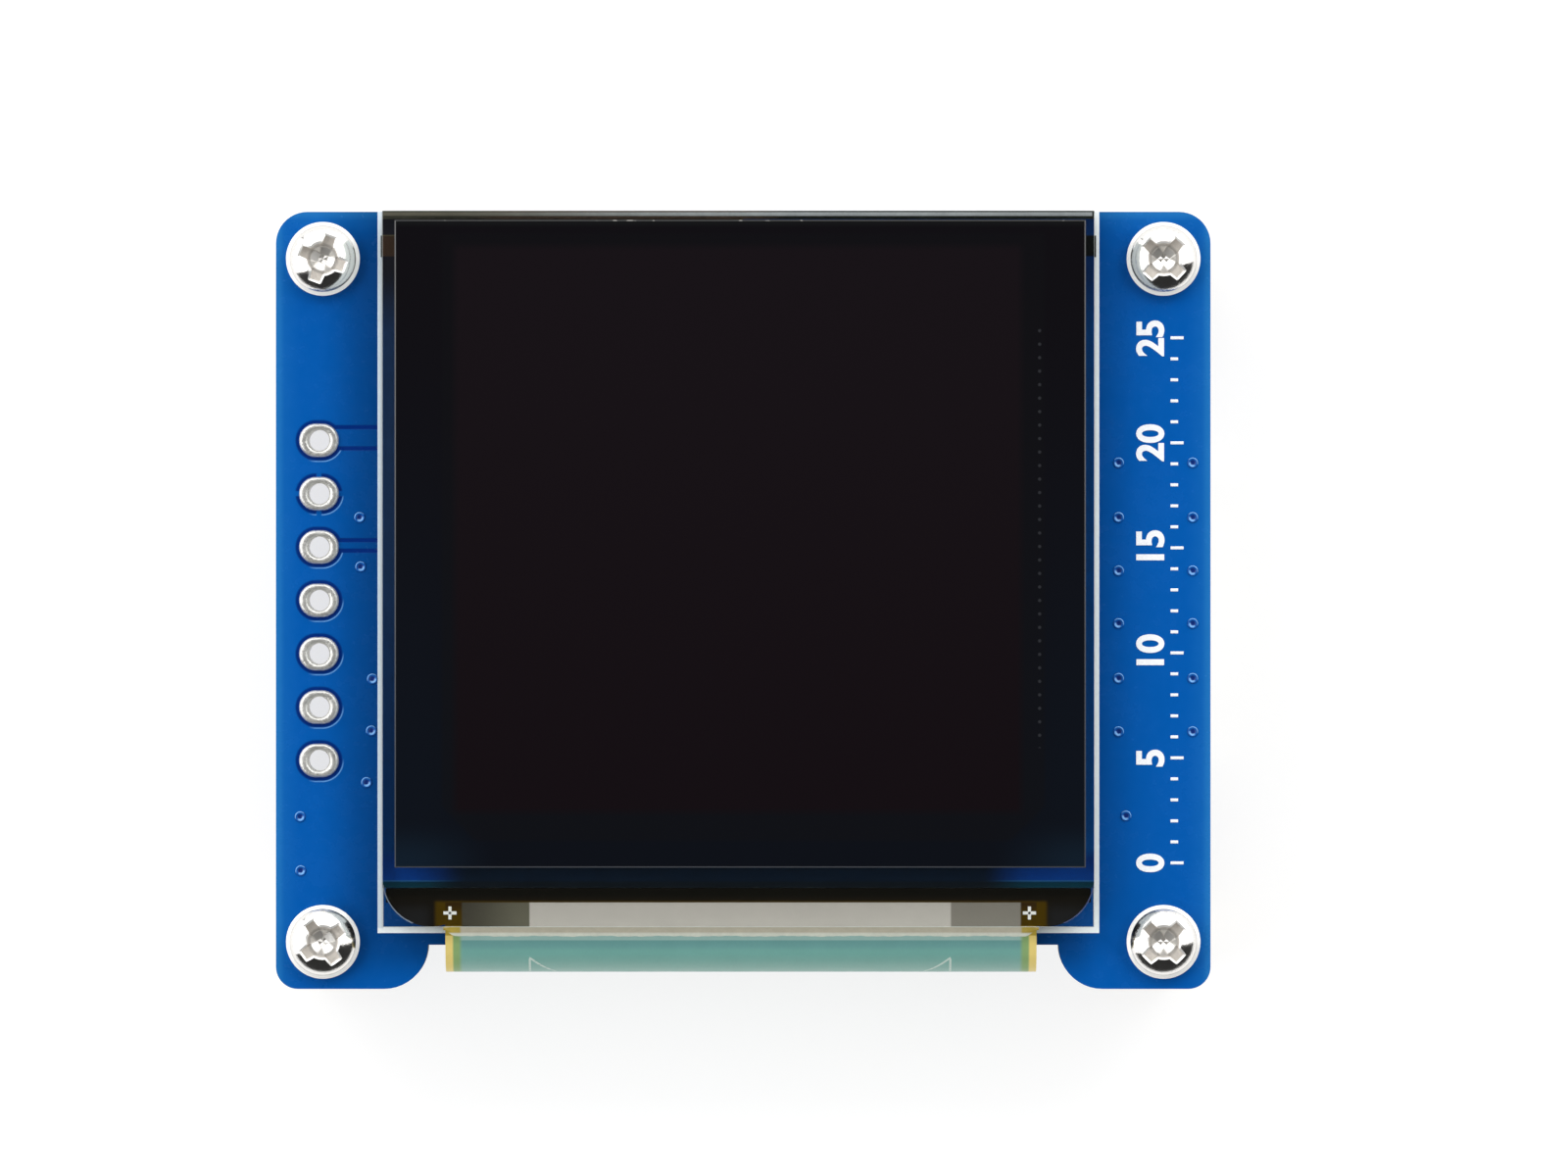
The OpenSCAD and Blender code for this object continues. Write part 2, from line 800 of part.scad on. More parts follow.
module film_connector_contacts()
    color("#d9b45a")
        under_board([conn_x, conn_y])
            for (x = contact_places)
                translate([x, 0, 0])
                    along_x(contact_w)
                        contact_profile();

// Solder tabs at the two ends of the film connector
module film_connector_tabs()
    color("#c9c9c6")
        under_board([conn_x, conn_y])
            for (side = [-1, 1])
                translate([side * conn_w / 2, 0, 0])
                    mirror([side < 0 ? 1 : 0, 0, 0]) {
                        translate([0, conn_tab_y, 0])
                            cube(conn_tab);
                        translate([0, conn_tab_y + (conn_tab[1] - conn_neck_l) / 2, 0])
                            cube([conn_tab[2], conn_neck_l, conn_neck_h]);
                    }

// ---------- wire connector ----------

wire_places = row_of(wire_n, wire_pitch);

module wire_connector_housing()
    color("#f1eee2")
        under_board([socket_x, 0])
            difference() {
                along_y(socket_w)
                    polygon([
                        [socket_step, 0], [socket_d, 0], [socket_d, socket_h], [socket_step, socket_h],
                        [0, socket_h - socket_step], [0, pin_z + 2 * socket_step],
                        [socket_step, pin_z + socket_step]
                    ]);
                // cavity that the plug goes into
                translate([socket_back, -socket_w / 2 + socket_wall, socket_wall])
                    cube([socket_d, socket_w - 2 * socket_wall, socket_h - 2 * socket_wall]);
                // two key slots in the wall away from the board
                for (side = [-1, 1])
                    translate([socket_d - key_l, side * (socket_w / 2 - key_inset) - key_w / 2,
                               socket_h - 2 * socket_wall])
                        cube([key_l + eps, key_w, 3 * socket_wall]);
                // lower openings in the two end walls
                translate([socket_d - window_l, -socket_w, (socket_h - window_h) / 2])
                    cube([window_l + eps, 2 * socket_w, window_h]);
                // hole for each pin
                for (y = wire_places)
                    translate([-eps, y - pin_w / 2, pin_z - pin_w / 2])
                        cube([socket_back + 2 * eps, pin_w, pin_w]);
            }

// Bent square pins: solder foot behind the housing, riser, and a straight pin into the cavity
module wire_connector_pins()
    color("#d8cfae")
        under_board([socket_x, 0])
            for (y = wire_places)
                translate([0, y, 0])
                    along_y(pin_w)
                        polygon([
                            [-pin_foot, 0], [-pin_bend, 0], [0, pin_bend], [0, pin_z - pin_w / 2],
                            [pin_end - pin_bend, pin_z - pin_w / 2], [pin_end, pin_z - pin_tip],
                            [pin_end, pin_z + pin_tip], [pin_end - pin_bend, pin_z + pin_w / 2],
                            [-pin_w + pin_bend, pin_z + pin_w / 2],
                            [-pin_w, pin_z + pin_w / 2 - pin_bend], [-pin_w, pin_w],
                            [-2 * pin_w + pin_bend, pin_bend], [-pin_foot, pin_bend]
                        ]);

// Broad solder tabs that hold the housing's two ends
module wire_connector_tabs()
    color("#cfcfcc")
        under_board([socket_x, 0])
            for (side = [-1, 1])
                translate([tab_x, side * socket_w / 2, 0])
                    mirror([0, side < 0 ? 1 : 0, 0]) {
                        translate([-tab[0] / 2, 0, 0])
                            cube(tab);
                        translate([-tab_neck_l / 2, 0, 0])
                            cube([tab_neck_l, tab[2], tab_neck_h]);
                    }

// ---------- small parts on the back ----------

// Moulded power inductor, with a round window round its drum
module inductor_core()
    color("#3a3c3f")
        under_board(inductor_at)
            difference() {
                translate([0, 0, inductor_lift])
                    linear_extrude(inductor_h - inductor_lift)
                        rounded_plate(inductor_w, inductor_w, [inductor_r, inductor_r]);
                translate([0, 0, inductor_h - groove_depth])
                    linear_extrude(groove_depth + eps)
                        difference() {
                            circle(r = groove_r);
                            circle(r = groove_r - groove_w);
                        }
                inductor_ends(eps);
            }

// The two terminals wrap under the core
module inductor_ends(grow)
    for (side = [-1, 1])
        translate([side * (inductor_w - terminal[0]) / 2, 0, terminal[2] / 2])
            cube([terminal[0] + 2 * grow, terminal[1] + 2 * grow, terminal[2] + 2 * grow], center = true);

module inductor_terminals()
    color("#cfcfcc")
        under_board(inductor_at)
            inductor_ends(0);

module diode_body()
    color("#26272a")
        under_board(diode_at)
            chip_body(diode);

module diode_leads()
    color("#cfcfcc")
        under_board(diode_at)
            for (side = [-1, 1])
                mirror([side < 0 ? 1 : 0, 0, 0])
                    translate([diode[0] / 2, 0, 0])
                        rotate([0, 0, -90])
                            along_x(diode_lead[0])
                                gull_wing(diode_lead[1], diode_lead[2], diode_lead[3]);

// Small five-lead chip: body and leads, three on one side and two on the other
module five_lead_body(at)
    under_board(at)
        chip_body(five_lead);

module five_lead_leads(at)
    under_board(at) {
        lead_row([-five_lead_pitch, 0, five_lead_pitch], five_lead[1], five_lead_lead, -1);
        lead_row([-five_lead_pitch, five_lead_pitch], five_lead[1], five_lead_lead, 1);
    }

module booster_body()
    color("#26272a")
        five_lead_body(booster_at);

module booster_leads()
    color("#cfcfcc")
        five_lead_leads(booster_at);

module regulator_body()
    color("#26272a")
        five_lead_body(regulator_at);

module regulator_leads()
    color("#cfcfcc")
        five_lead_leads(regulator_at);

// Level shifter: a thin chip with leads down both sides and a round mark at its first lead
module level_shifter_body()
    color("#26272a")
        under_board(shifter_at)
            difference() {
                chip_body(shifter);
                translate([-shifter[0] / 2 + mark_inset, -shifter[1] / 2 + mark_inset,
                           shifter[2] + chip_lift - mark_depth])
                    cylinder(h = 2 * mark_depth, r = mark_r);
            }

module level_shifter_leads()
    color("#cfcfcc")
        under_board(shifter_at)
            for (side = [-1, 1])
                lead_row(row_of(shifter_n, shifter_pitch), shifter[1], shifter_lead, side);

// Chip capacitors and resistors: a body between two end caps
module at_each(places)
    for (p = places)
        under_board(p)
            rotate([0, 0, p[2]])
                children();

module chip_middle(t)
    translate([-chip_part[0] / 2 + end_l, -chip_part[1] / 2 + end_step, end_step])
        cube([chip_part[0] - 2 * end_l, chip_part[1] - 2 * end_step, t - 2 * end_step]);

module chip_ends(t)
    for (side = [0, 1])
        mirror([side, 0, 0])
            translate([-chip_part[0] / 2, -chip_part[1] / 2, 0])
                cube([end_l, chip_part[1], t]);

module capacitor_bodies()
    color("#a8825a")
        at_each(capacitor_at)
            chip_middle(cap_t);

module capacitor_ends()
    color("#cfcfcc")
        at_each(capacitor_at)
            chip_ends(cap_t);

module resistor_bodies()
    color("#1d1f22")
        at_each(resistor_at)
            chip_middle(resistor_t);

module resistor_ends()
    color("#cfcfcc")
        at_each(resistor_at)
            chip_ends(resistor_t);

// ---------- the nodes ----------

pcb();
for (i = [1:header_n]) header_pad(i);
for (i = [1:len(corners)]) standoff(i);
screws();
polarizer();
front_glass();
pixel_array();
glass_seal();
desiccant_sheet();
back_glass();
display_tape();
ledge_sealant();
display_film();
driver_chip();
tail_stiffener();
film_connector_housing();
film_connector_latch();
film_connector_contacts();
film_connector_tabs();
wire_connector_housing();
wire_connector_pins();
wire_connector_tabs();
inductor_core();
inductor_terminals();
diode_body();
diode_leads();
booster_body();
booster_leads();
regulator_body();
regulator_leads();
level_shifter_body();
level_shifter_leads();
capacitor_bodies();
capacitor_ends();
resistor_bodies();
resistor_ends();
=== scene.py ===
"""Finishes, printing and solder for a small OLED display module, and the studio it is shown in.

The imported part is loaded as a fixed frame, in metres: X runs along the board's long side, Z is up and out of the
screen, and the standoffs' feet are on Z = 0. Every operator adds one group of pieces or finishes, and main() calls
them in order.
"""

import math

import bmesh
import bpy
import numpy as np
from bpy.props import FloatProperty, FloatVectorProperty, IntProperty, PointerProperty
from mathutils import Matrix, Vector


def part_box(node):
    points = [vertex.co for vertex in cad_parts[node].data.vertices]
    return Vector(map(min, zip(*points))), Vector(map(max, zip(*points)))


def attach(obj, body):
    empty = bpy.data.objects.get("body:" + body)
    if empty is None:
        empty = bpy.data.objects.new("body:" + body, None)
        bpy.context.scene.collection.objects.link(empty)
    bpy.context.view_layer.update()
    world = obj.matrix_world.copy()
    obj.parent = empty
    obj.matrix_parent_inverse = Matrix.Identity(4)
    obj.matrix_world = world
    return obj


bl_info = {
    "name": "OLED display module",
    "version": (1, 0, 0),
    "blender": (4, 5, 0),
    "location": "3D View > Sidebar > OLED Module",
    "description": "Finishes, printing and solder for a small OLED display module",
    "category": "Object",
}

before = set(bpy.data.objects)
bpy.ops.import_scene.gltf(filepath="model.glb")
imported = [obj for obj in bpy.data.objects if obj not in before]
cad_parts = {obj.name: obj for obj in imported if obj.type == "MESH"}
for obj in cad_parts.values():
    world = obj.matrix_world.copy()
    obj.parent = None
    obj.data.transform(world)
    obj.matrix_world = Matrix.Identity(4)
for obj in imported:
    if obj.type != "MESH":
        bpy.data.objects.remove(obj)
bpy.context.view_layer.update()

BODY = "module"
MM = 0.001


# ---------- values that a user would change ----------


def screen(red, green, blue):
    """The shader's colour for 0 to 255 screen values: the inverse of the screen's own curve, then alpha 1."""
    share = np.array([red, green, blue]) / 255
    linear = np.where(share <= 0.04045, share / 12.92, ((share + 0.055) / 1.055) ** 2.4)
    return (*linear.tolist(), 1.0)


def place(name, description, millimetres, **limits):
    """A place along an axis, given in millimetres."""
    return FloatProperty(
        name=name, description=description, default=millimetres * MM, unit="LENGTH", precision=6, **limits
    )


def length(name, description, millimetres):
    """A size given in millimetres, never negative."""
    return place(name, description, millimetres, min=0)


def tint(name, description, red, green, blue):
    """A colour given in screen values."""
    return FloatVectorProperty(
        name=name, description=description, default=screen(red, green, blue), size=4, min=0, max=1, subtype="COLOR"
    )


def share(name, description, value):
    """A part of one."""
    return FloatProperty(name=name, description=description, default=value, min=0, max=1, subtype="FACTOR")


class BoardSettings(bpy.types.PropertyGroup):
    """The board's lacquer, its plated holes and its vias."""

    mask: tint("Solder mask", "Lacquer over copper", 0, 88, 172)
    mask_gap: tint("Bare laminate", "Lacquer where there is no copper under it", 0, 42, 118)
    # painted light: the lighter lacquer colour along the board's edges
    mask_thin: tint("Thin lacquer", "Lacquer along the board's cut edge", 40, 124, 190)
    # painted highlight: the pale lacquer colour for the step round the pads and for the vias' dimple walls
    glint: tint("Lacquer glint", "Edge of the lacquer where it steps up over copper", 112, 170, 228)
    laminate: tint("Laminate", "Cut edge of the glass-cloth board", 140, 138, 108)
    header_x: place("Header row", "Middle of the row of plated holes", -20.2)
    header_pitch: length("Header pitch", "Distance between two plated holes", 2.54)
    header_n: IntProperty(name="Header holes", description="Plated holes in the row", default=7, min=1)
    pad_straight: length("Pad straight", "Half of the straight part of an oval pad", 0.15)
    pad_r: length("Pad radius", "Half the width of an oval pad", 0.8)
    pad_gap: length("Pad gap", "Ring without copper round a pad", 0.16)
    spoke: length("Pad spoke", "Half the width of the copper that joins the second pad to the rest", 0.12)
    hole_r: length("Hole radius", "Radius of a plated hole", 0.5)
    via_r: length("Via radius", "Outer radius of a tented via", 0.26)
    via_rise: length("Via rise", "How far its rim stands up", 0.055)
    tin_rise: length("Tin rise", "Height of the tin on a pad over the board", 0.2)


class InkSettings(bpy.types.PropertyGroup):
    """The white print on both faces."""

    ink: tint("Ink", "White print on the board", 250, 252, 255)
    ink_cool: tint("Outline ink", "White print of the display's outline", 247, 254, 255)
    ink_outer: tint("Outline ink, left", "The outline's outer half at the left", 204, 222, 234)
    # a darker ink colour for the right half of the outline's two sides
    ink_thin: tint("Thin ink", "The outline's inner half, where less ink came through the screen", 200, 209, 218)
    thickness: length("Ink thickness", "Height of the print over the board", 0.02)
    line: length("Line width", "Width of the display's outline", 0.28)
    fine_line: length("Fine line", "Width of the scale's ticks and of the chips' outlines", 0.14)
    scale_x: place("Scale", "Middle of the printed scale's numbers", 19.45)
    digit: length("Digit height", "Height of a printed number", 1.35)
    bold: length("Digit weight", "How much each stroke of a number is widened", 0.06)
    tick: length("Tick", "Length of a tick of the scale", 0.36)
    long_tick: length("Long tick", "Length of every fifth tick", 0.62)
    small_digit: length("Pin number height", "Height of a number on the back", 1.0)
    small_bold: length("Pin number weight", "How much each stroke of it is widened", 0.02)


class PanelSettings(bpy.types.PropertyGroup):
    """The colours of the display panel's layers."""

    screen_top: tint("Screen, top", "Unlit screen near the top edge", 21, 16, 20)
    screen_bottom: tint("Screen, bottom", "Unlit screen near the bottom edge", 18, 12, 16)
    array: tint("Array rim", "Part of the array outside the screen", 15, 15, 18)
    spot: tint("Test marks", "Fine column of marks at the right of the screen", 96, 98, 104)
    border_top: tint("Border, top", "Polarizer beside the screen, near the top", 14, 12, 16)
    border_bottom: tint("Border, bottom", "Polarizer beside the screen, near the bottom", 11, 14, 21)
    border_low: tint("Border, low corners", "Polarizer near the two low corners", 15, 27, 39)
    # painted highlights: pale colours for the polarizer's cut edges
    bevel: tint("Polarizer's edge", "Cut edge of the polarizer at its sides, near the top", 84, 84, 84)
    bevel_low: tint("Polarizer's edge, low", "The same edge near the bottom and along it", 27, 35, 47)
    bevel_far: tint("Polarizer's far edge", "The same edge along the top", 24, 26, 26)
    dust: tint("Dust", "A few grains along the far edge", 130, 128, 124)
    glass: tint("Glass", "Tint of the cut glass", 251, 252, 251)
    glass_cut: tint("Cut edge", "Ground edge of the glass", 204, 212, 210)
    edge_left: tint("Far edge, left", "Chipped chamfer along the glass's far edge, at its left end", 78, 76, 64)
    edge_right: tint("Far edge, right", "The same chamfer, right of its middle", 136, 142, 143)
    seal_left: tint("Seal, left", "Cured adhesive between the glasses, left side", 48, 84, 138)
    seal_right: tint("Seal, right", "Cured adhesive between the glasses, right side", 0, 104, 196)
    seal_top_left: tint("Seal, top left", "The left side near the top", 50, 50, 62)
    seal_top_right: tint("Seal, top right", "The right side near the top", 10, 72, 150)
    seal_low: tint("Seal, low sides", "Cured adhesive at the left side, near the low corner", 0, 70, 138)
    seal_corner: tint("Seal, low corners", "Cured adhesive along the low edge, near its ends", 0, 60, 142)
    # painted shade: the low edge's middle colours are darker than its ends
    seal_middle: tint("Seal, low middle", "Cured adhesive along the low edge", 4, 23, 42)
    strip_corner: tint("Seal strip, ends", "Darker lower strip of the low edge, near its ends", 0, 50, 66)
    strip_middle: tint("Seal strip, middle", "Darker lower strip of the low edge", 6, 16, 24)
    parting: tint("Seal parting", "Pale line over that strip, near its ends", 70, 140, 170)
    far_left: tint("Far band, left", "Adhesive along the far edge, at its left end", 116, 114, 100)
    far_right: tint("Far band, right", "Adhesive along the far edge, right of its middle", 76, 82, 76)
    far_tape: tint("Far band, tape", "The same band where the brown tape shows through", 141, 118, 102)
    tape_left: tint("Tape, left", "The tape's left end, seen through the glass", 96, 74, 60)
    tape_right: tint("Tape, right", "The tape's right end", 28, 34, 36)
    tape_cut_left: tint("Tape's cut, left", "Cut edge of the tape's left end", 150, 140, 104)
    tape_cut_right: tint("Tape's cut, right", "Cut edge of the tape's right end", 40, 46, 46)
    sealant: tint("Ledge sealant", "Dark sealant under the ledge", 14, 13, 8)
    sealant_low: tint("Ledge sealant, near", "The same where it meets the film's bonded end", 21, 18, 12)
    lobe: tint("Sealant lobes", "Thinner sealant in the two corners", 31, 31, 32)
    # painted highlights along the rounded rims of the two lobes
    lobe_rim: tint("Left lobe's rim", "Bright rounded rim of the left lobe", 128, 142, 160)
    lobe_faint: tint("Right lobe's rim", "Fainter rounded rim of the right lobe", 62, 78, 124)


class FilmSettings(bpy.types.PropertyGroup):
    """The colours of the folded film and its bead."""

    base: tint("Film", "Lacquered middle of the film", 112, 167, 158)
    # painted light and shade: the film is lighter at the fold and darker beside the glass
    base_far: tint("Film, at the fold", "Lacquered middle where the film turns down", 140, 181, 171)
    base_near: tint("Film, at the glass", "Lacquered middle beside the glass", 105, 156, 153)
    line: tint("Film, under the bead", "Lacquered middle along the bead's foot", 155, 191, 185)
    track: tint("Copper tracks", "Fine tracks where the film lies under the board", 70, 108, 100)
    amber: tint("Amber edge", "Bare polyimide at the film's edges", 232, 209, 124)
    olive: tint("Olive edge", "Thin lacquer beside the bare polyimide", 136, 169, 111)
    bond_amber: tint("Bonded amber", "Bare polyimide under the glass", 70, 52, 0)
    bond_dark: tint("Bonded amber, inner", "The same farther in under the glass", 50, 34, 8)
    silver: tint("Bonded middle", "Bonded contacts under the glass, middle", 194, 188, 181)
    grey_left: tint("Bonded left", "Bonded contacts under the glass, left end", 70, 67, 58)
    grey_inner: tint("Bonded left, inner", "The same beside the middle", 104, 101, 87)
    grey_right: tint("Bonded right", "Bonded contacts under the glass, right", 137, 132, 123)
    glue: tint("Edge bead", "Clear bead along the glass's cut edge", 222, 226, 212)
    glue_high: tint("Edge bead, upper", "The same bead where it climbs the glass", 190, 182, 162)
    glue_amber: tint("Edge bead, ends", "The same bead over bare polyimide", 184, 160, 60)
    mark: tint("Alignment crosses", "Bright crosses for placing the film", 240, 240, 236)


class MetalSettings(bpy.types.PropertyGroup):
    """The metal parts."""

    nickel: tint("Nickel", "Plated screws", 238, 236, 232)
    punched: tint("Punched nickel", "Rougher metal on the recess's ledge", 222, 216, 208)
    # painted highlight: the recess chamfers and head bevels get this near-white, half-matt colour in place of mirrored
    # light
    rim: tint("Recess rim", "Burnished edge of the recess", 250, 249, 246)
    solder: tint("Solder", "Tinned pads and joints", 226, 225, 220)
    brass: tint("Brass", "Turned standoffs", 214, 188, 112)
    gold: tint("Gold", "Contacts of the film connector", 222, 178, 92)
    roughness: share("Polish", "Roughness of the plated screws", 0.13)


class StudioSettings(bpy.types.PropertyGroup):
    """The camera and the floor."""

    camera_x: place("Camera, across", "Camera's place along X", 1.94)
    camera_y: place("Camera, along", "Camera's place along Y", 0.59)
    camera_far: length("Camera distance", "From the camera to the board's top face", 600)
    view_width: length("View width", "Width seen at the board's top face", 74.66)
    floor_size: length("Floor size", "Side of the square floor", 3000)
    floor_white: share("Floor light", "White that the floor adds where it is looked at", 0.72)
    # the darker floor under the board is a painted shadow
    floor_under: share("Floor under the board", "Part of that white that is left under the board", 0.76)


GROUPS = {
    "oled_board": BoardSettings,
    "oled_ink": InkSettings,
    "oled_panel": PanelSettings,
    "oled_film": FilmSettings,
    "oled_metal": MetalSettings,
    "oled_studio": StudioSettings,
}


# ---------- boxes of the frame's nodes ----------


def solid_boxes(node):
    """Lowest and highest corner of each separate solid of a node, as an (n, 2, 3) array.
    Corners at one place share a label, and each triangle passes its lowest label on until none changes."""
    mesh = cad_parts[node].data
    points = np.empty(len(mesh.vertices) * 3, np.float32)
    mesh.vertices.foreach_get("co", points)
    corners = np.empty(len(mesh.loops), np.int64)
    mesh.loops.foreach_get("vertex_index", corners)
    points = points.reshape(-1, 3).astype(float)
    same = np.unique(np.round(points * 1e7), axis=0, return_inverse=True)[1].ravel()
    triangles = same[corners].reshape(-1, 3)
    label = np.arange(same.max() + 1)
    while True:
        lowest = label.copy()
        np.minimum.at(lowest, triangles.ravel(), np.repeat(label[triangles].min(axis=1), 3))
        if (lowest == label).all():
            break
        label = lowest
    owner = label[same]
    solids = [points[owner == mark] for mark in np.unique(owner)]
    return np.array([[s.min(axis=0), s.max(axis=0)] for s in solids])


BOARD_LOW, BOARD_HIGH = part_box("pcb")
GLASS_LOW, GLASS_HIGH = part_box("front_glass")
FILM_LOW, FILM_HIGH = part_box("display_film")
ARRAY_LOW, ARRAY_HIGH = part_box("pixel_array")
POLARIZER_LOW, POLARIZER_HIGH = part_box("polarizer")


def flat_middle(node):
    """Middle of a node's box, at Z = 0."""
    low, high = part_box(node)
    return (low.x + high.x) / 2, (low.y + high.y) / 2, 0


def middle_half(low, high):
    """Middle and half the length of a span, in millimetres."""
    return (low + high) / 2 / MM, (high - low) / 2 / MM


# the same for the materials, in mm: the glass and the film along X, the board along Z, and the glass's near edge
GLASS_MIDDLE, GLASS_HALF = middle_half(GLASS_LOW.x, GLASS_HIGH.x)
FILM_MIDDLE, FILM_HALF = middle_half(FILM_LOW.x, FILM_HIGH.x)
BOARD_MIDDLE, BOARD_HALF = middle_half(BOARD_LOW.z, BOARD_HIGH.z)
NEAR_EDGE = GLASS_LOW.y / MM


# ---------- shapes ----------


def grid_faces(rows, columns, wrap=False):
    """Quads between neighbouring points of a rows by columns grid; wrap also joins the last column to the first."""
    row = np.arange(rows - 1)[:, None]
    column = np.arange(columns if wrap else columns - 1)[None, :]
    after = (column + 1) % columns
    return np.stack(
        [row * columns + column, row * columns + after, (row + 1) * columns + after, (row + 1) * columns + column],
        axis=-1,
    ).reshape(-1, 4)


def closed_faces(rows, columns):
    """Quads of a grid that closes on itself in both directions."""
    return grid_faces(rows + 1, columns, wrap=True) % (rows * columns)


def capped_faces(rows, columns):
    """Quads of a tube of that many rings, and the two faces that close its ends."""
    start = np.arange(columns)[None, :]
    return [grid_faces(rows, columns, wrap=True), start[:, ::-1], start + (rows - 1) * columns]


def carried(path, profile, closed=False):
    """A closed profile of (across, up) points carried along a flat path of (x, y) points.
    Each point moves along the path's mitred normal by its across and along Z by its up; open ends get caps."""
    path = np.asarray(path, float)
    profile = np.asarray(profile, float)
    step = np.diff(np.vstack([path[-1:], path, path[:1]]), axis=0)
    if not closed:
        step[0], step[-1] = step[1], step[-2]
    unit = step / np.linalg.norm(step, axis=1, keepdims=True)
    normal = np.stack([unit[:, 1], -unit[:, 0]], axis=-1)
    mitre = normal[:-1] + normal[1:]
    mitre *= 2 / (mitre**2).sum(axis=1, keepdims=True)
    flat = path[:, None, :] + mitre[:, None, :] * profile[None, :, 0, None]
    height = np.broadcast_to(profile[None, :, 1, None], flat.shape[:2] + (1,))
    points = np.concatenate([flat, height], axis=-1).reshape(-1, 3)
    size = len(path), len(profile)
    return points, [closed_faces(*size)] if closed else capped_faces(*size)


def turned(profile, steps):
    """A closed solid of revolution: each (r, z) of the profile turned round Z; its two ends lie on the axis."""
    profile = np.asarray(profile, float)
    angle = np.arange(steps) * 2 * np.pi / steps
    ring = profile[1:-1]
    points = np.stack(
        [ring[:, :1] * np.cos(angle), ring[:, :1] * np.sin(angle), np.repeat(ring[:, 1:], steps, axis=1)], axis=-1
    ).reshape(-1, 3)
    poles = np.array([[0, 0, profile[0, 1]], [0, 0, profile[-1, 1]]])
    here = np.arange(steps)
    after = (here + 1) % steps
    last = (len(ring) - 1) * steps
    first_fan = np.stack([np.full(steps, last + steps), after, here], axis=-1)
    last_fan = np.stack([np.full(steps, last + steps + 1), last + here, last + after], axis=-1)
    return np.vstack([points, poles]), [grid_faces(len(ring), steps, wrap=True), first_fan, last_fan]


def copies(shape, places):
    """The shape at each of the (n, 3) places."""
    points, faces = shape
    places = np.asarray(places, float)
    offsets = np.arange(len(places))[:, None, None] * len(points)
    return (
        (points[None] + places[:, None]).reshape(-1, 3),
        [(f[None] + offsets).reshape(-1, f.shape[1]) for f in faces],
    )


def joined(shapes):
    """Several shapes as one."""
    points, faces, count = [], [], 0
    for p, fs in shapes:
        points.append(p)
        faces += [f + count for f in fs]
        count += len(p)
    return np.vstack(points), faces


def mirrored_down(shape, level):
    """The shape turned over in the plane Z = level, its faces still pointing outwards."""
    points, faces = shape
    return points * [1, 1, -1] + [0, 0, 2 * level], [f[:, ::-1] for f in faces]


def mounds(boxes, blocks, rim, rise, steps=15):
    """Solder or resin round parts that stand on Z = 0, one closed mound for each of n boxes (x0, y0, x1, y1).
    Its height is rim times (1 - u^8)(1 - v^8) over the box, plus rise times (1 - d / reach)^2, where d is the
    distance to the part's own block and reach is the widest distance from that block to the box's edge."""
    boxes, blocks = np.asarray(boxes, float), np.asarray(blocks, float)
    u = np.linspace(-1, 1, steps)
    u = np.sign(u) * np.abs(u) ** 0.7
    middle, half = (boxes[:, :2] + boxes[:, 2:]) / 2, (boxes[:, 2:] - boxes[:, :2]) / 2
    middle, half = middle[..., None, None], half[..., None, None]
    x = middle[:, 0] + half[:, 0] * u[:, None] + 0 * u
    y = middle[:, 1] + half[:, 1] * u + 0 * u[:, None]
    edge = (1 - u[:, None] ** 8) * (1 - u**8)
    x0, y0, x1, y1 = blocks.T[..., None, None]
    outside = np.hypot(np.maximum(np.maximum(x0 - x, x - x1), 0), np.maximum(np.maximum(y0 - y, y - y1), 0))
    reach = np.maximum(outside.max(axis=(1, 2), keepdims=True), 1e-9)
    z = edge * (rim + rise * np.clip(1 - outside / reach, 0, 1) ** 2)
    top = np.stack([x, y, z], axis=-1).reshape(-1, 3)
    number = np.arange(steps * steps).reshape(steps, steps)
    ring = np.concatenate([number[0], number[1:, -1], number[-1, -2::-1], number[-2:0:-1, 0]])
    start = np.arange(len(boxes))[:, None, None] * steps * steps
    faces = (grid_faces(steps, steps)[None, :, ::-1] + start).reshape(-1, 4)
    base = (ring[None, None, :] + start).reshape(-1, len(ring))
    return top, [faces, base]


def plan(boxes):
    """Each box seen from above, as (x0, y0, x1, y1)."""
    boxes = np.asarray(boxes)
    return np.concatenate([boxes[:, 0, :2], boxes[:, 1, :2]], axis=1)


def grown(rectangles, x, y):
    """Rectangles (x0, y0, x1, y1) made wider by x and deeper by y on each side."""
    return rectangles + np.array([-x, -y, x, y])


def rectangle(x0, y0, x1, y1):
    """The four corners of a rectangle, counter-clockwise."""
    return [(x0, y0), (x1, y0), (x1, y1), (x0, y1)]


def spun(flat, angle):
    """Flat (x, y) points turned counter-clockwise about the origin."""
    cos, sin = math.cos(angle), math.sin(angle)
    return flat @ np.array([[cos, sin], [-sin, cos]])


def smooth_step(value):
    """3 t^2 - 2 t^3 of the value held between 0 and 1."""
    t = np.clip(value, 0, 1)
    return t * t * (3 - 2 * t)


def piece(name, shape, finish, body=BODY, smooth=True, crease=40):
    """A mesh object at the origin made from a shape, with its finish and the body it rides on."""
    points, faces = shape
    mesh = bpy.data.meshes.new(name)
    mesh.from_pydata(points.tolist(), [], [f for group in faces for f in group.tolist()])
    mesh.polygons.foreach_set("use_smooth", np.full(len(mesh.polygons), smooth))
    mesh.set_sharp_from_angle(angle=math.radians(crease))
    mesh.materials.append(finish)
    made = bpy.data.objects.new(name, mesh)
    bpy.context.scene.collection.objects.link(made)
    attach(made, body)
    return made


# ---------- node trees ----------


def maths(operation):
    """A method that adds one Math node."""
    return lambda wire, *others: wire.graph.math(operation, wire, *others)


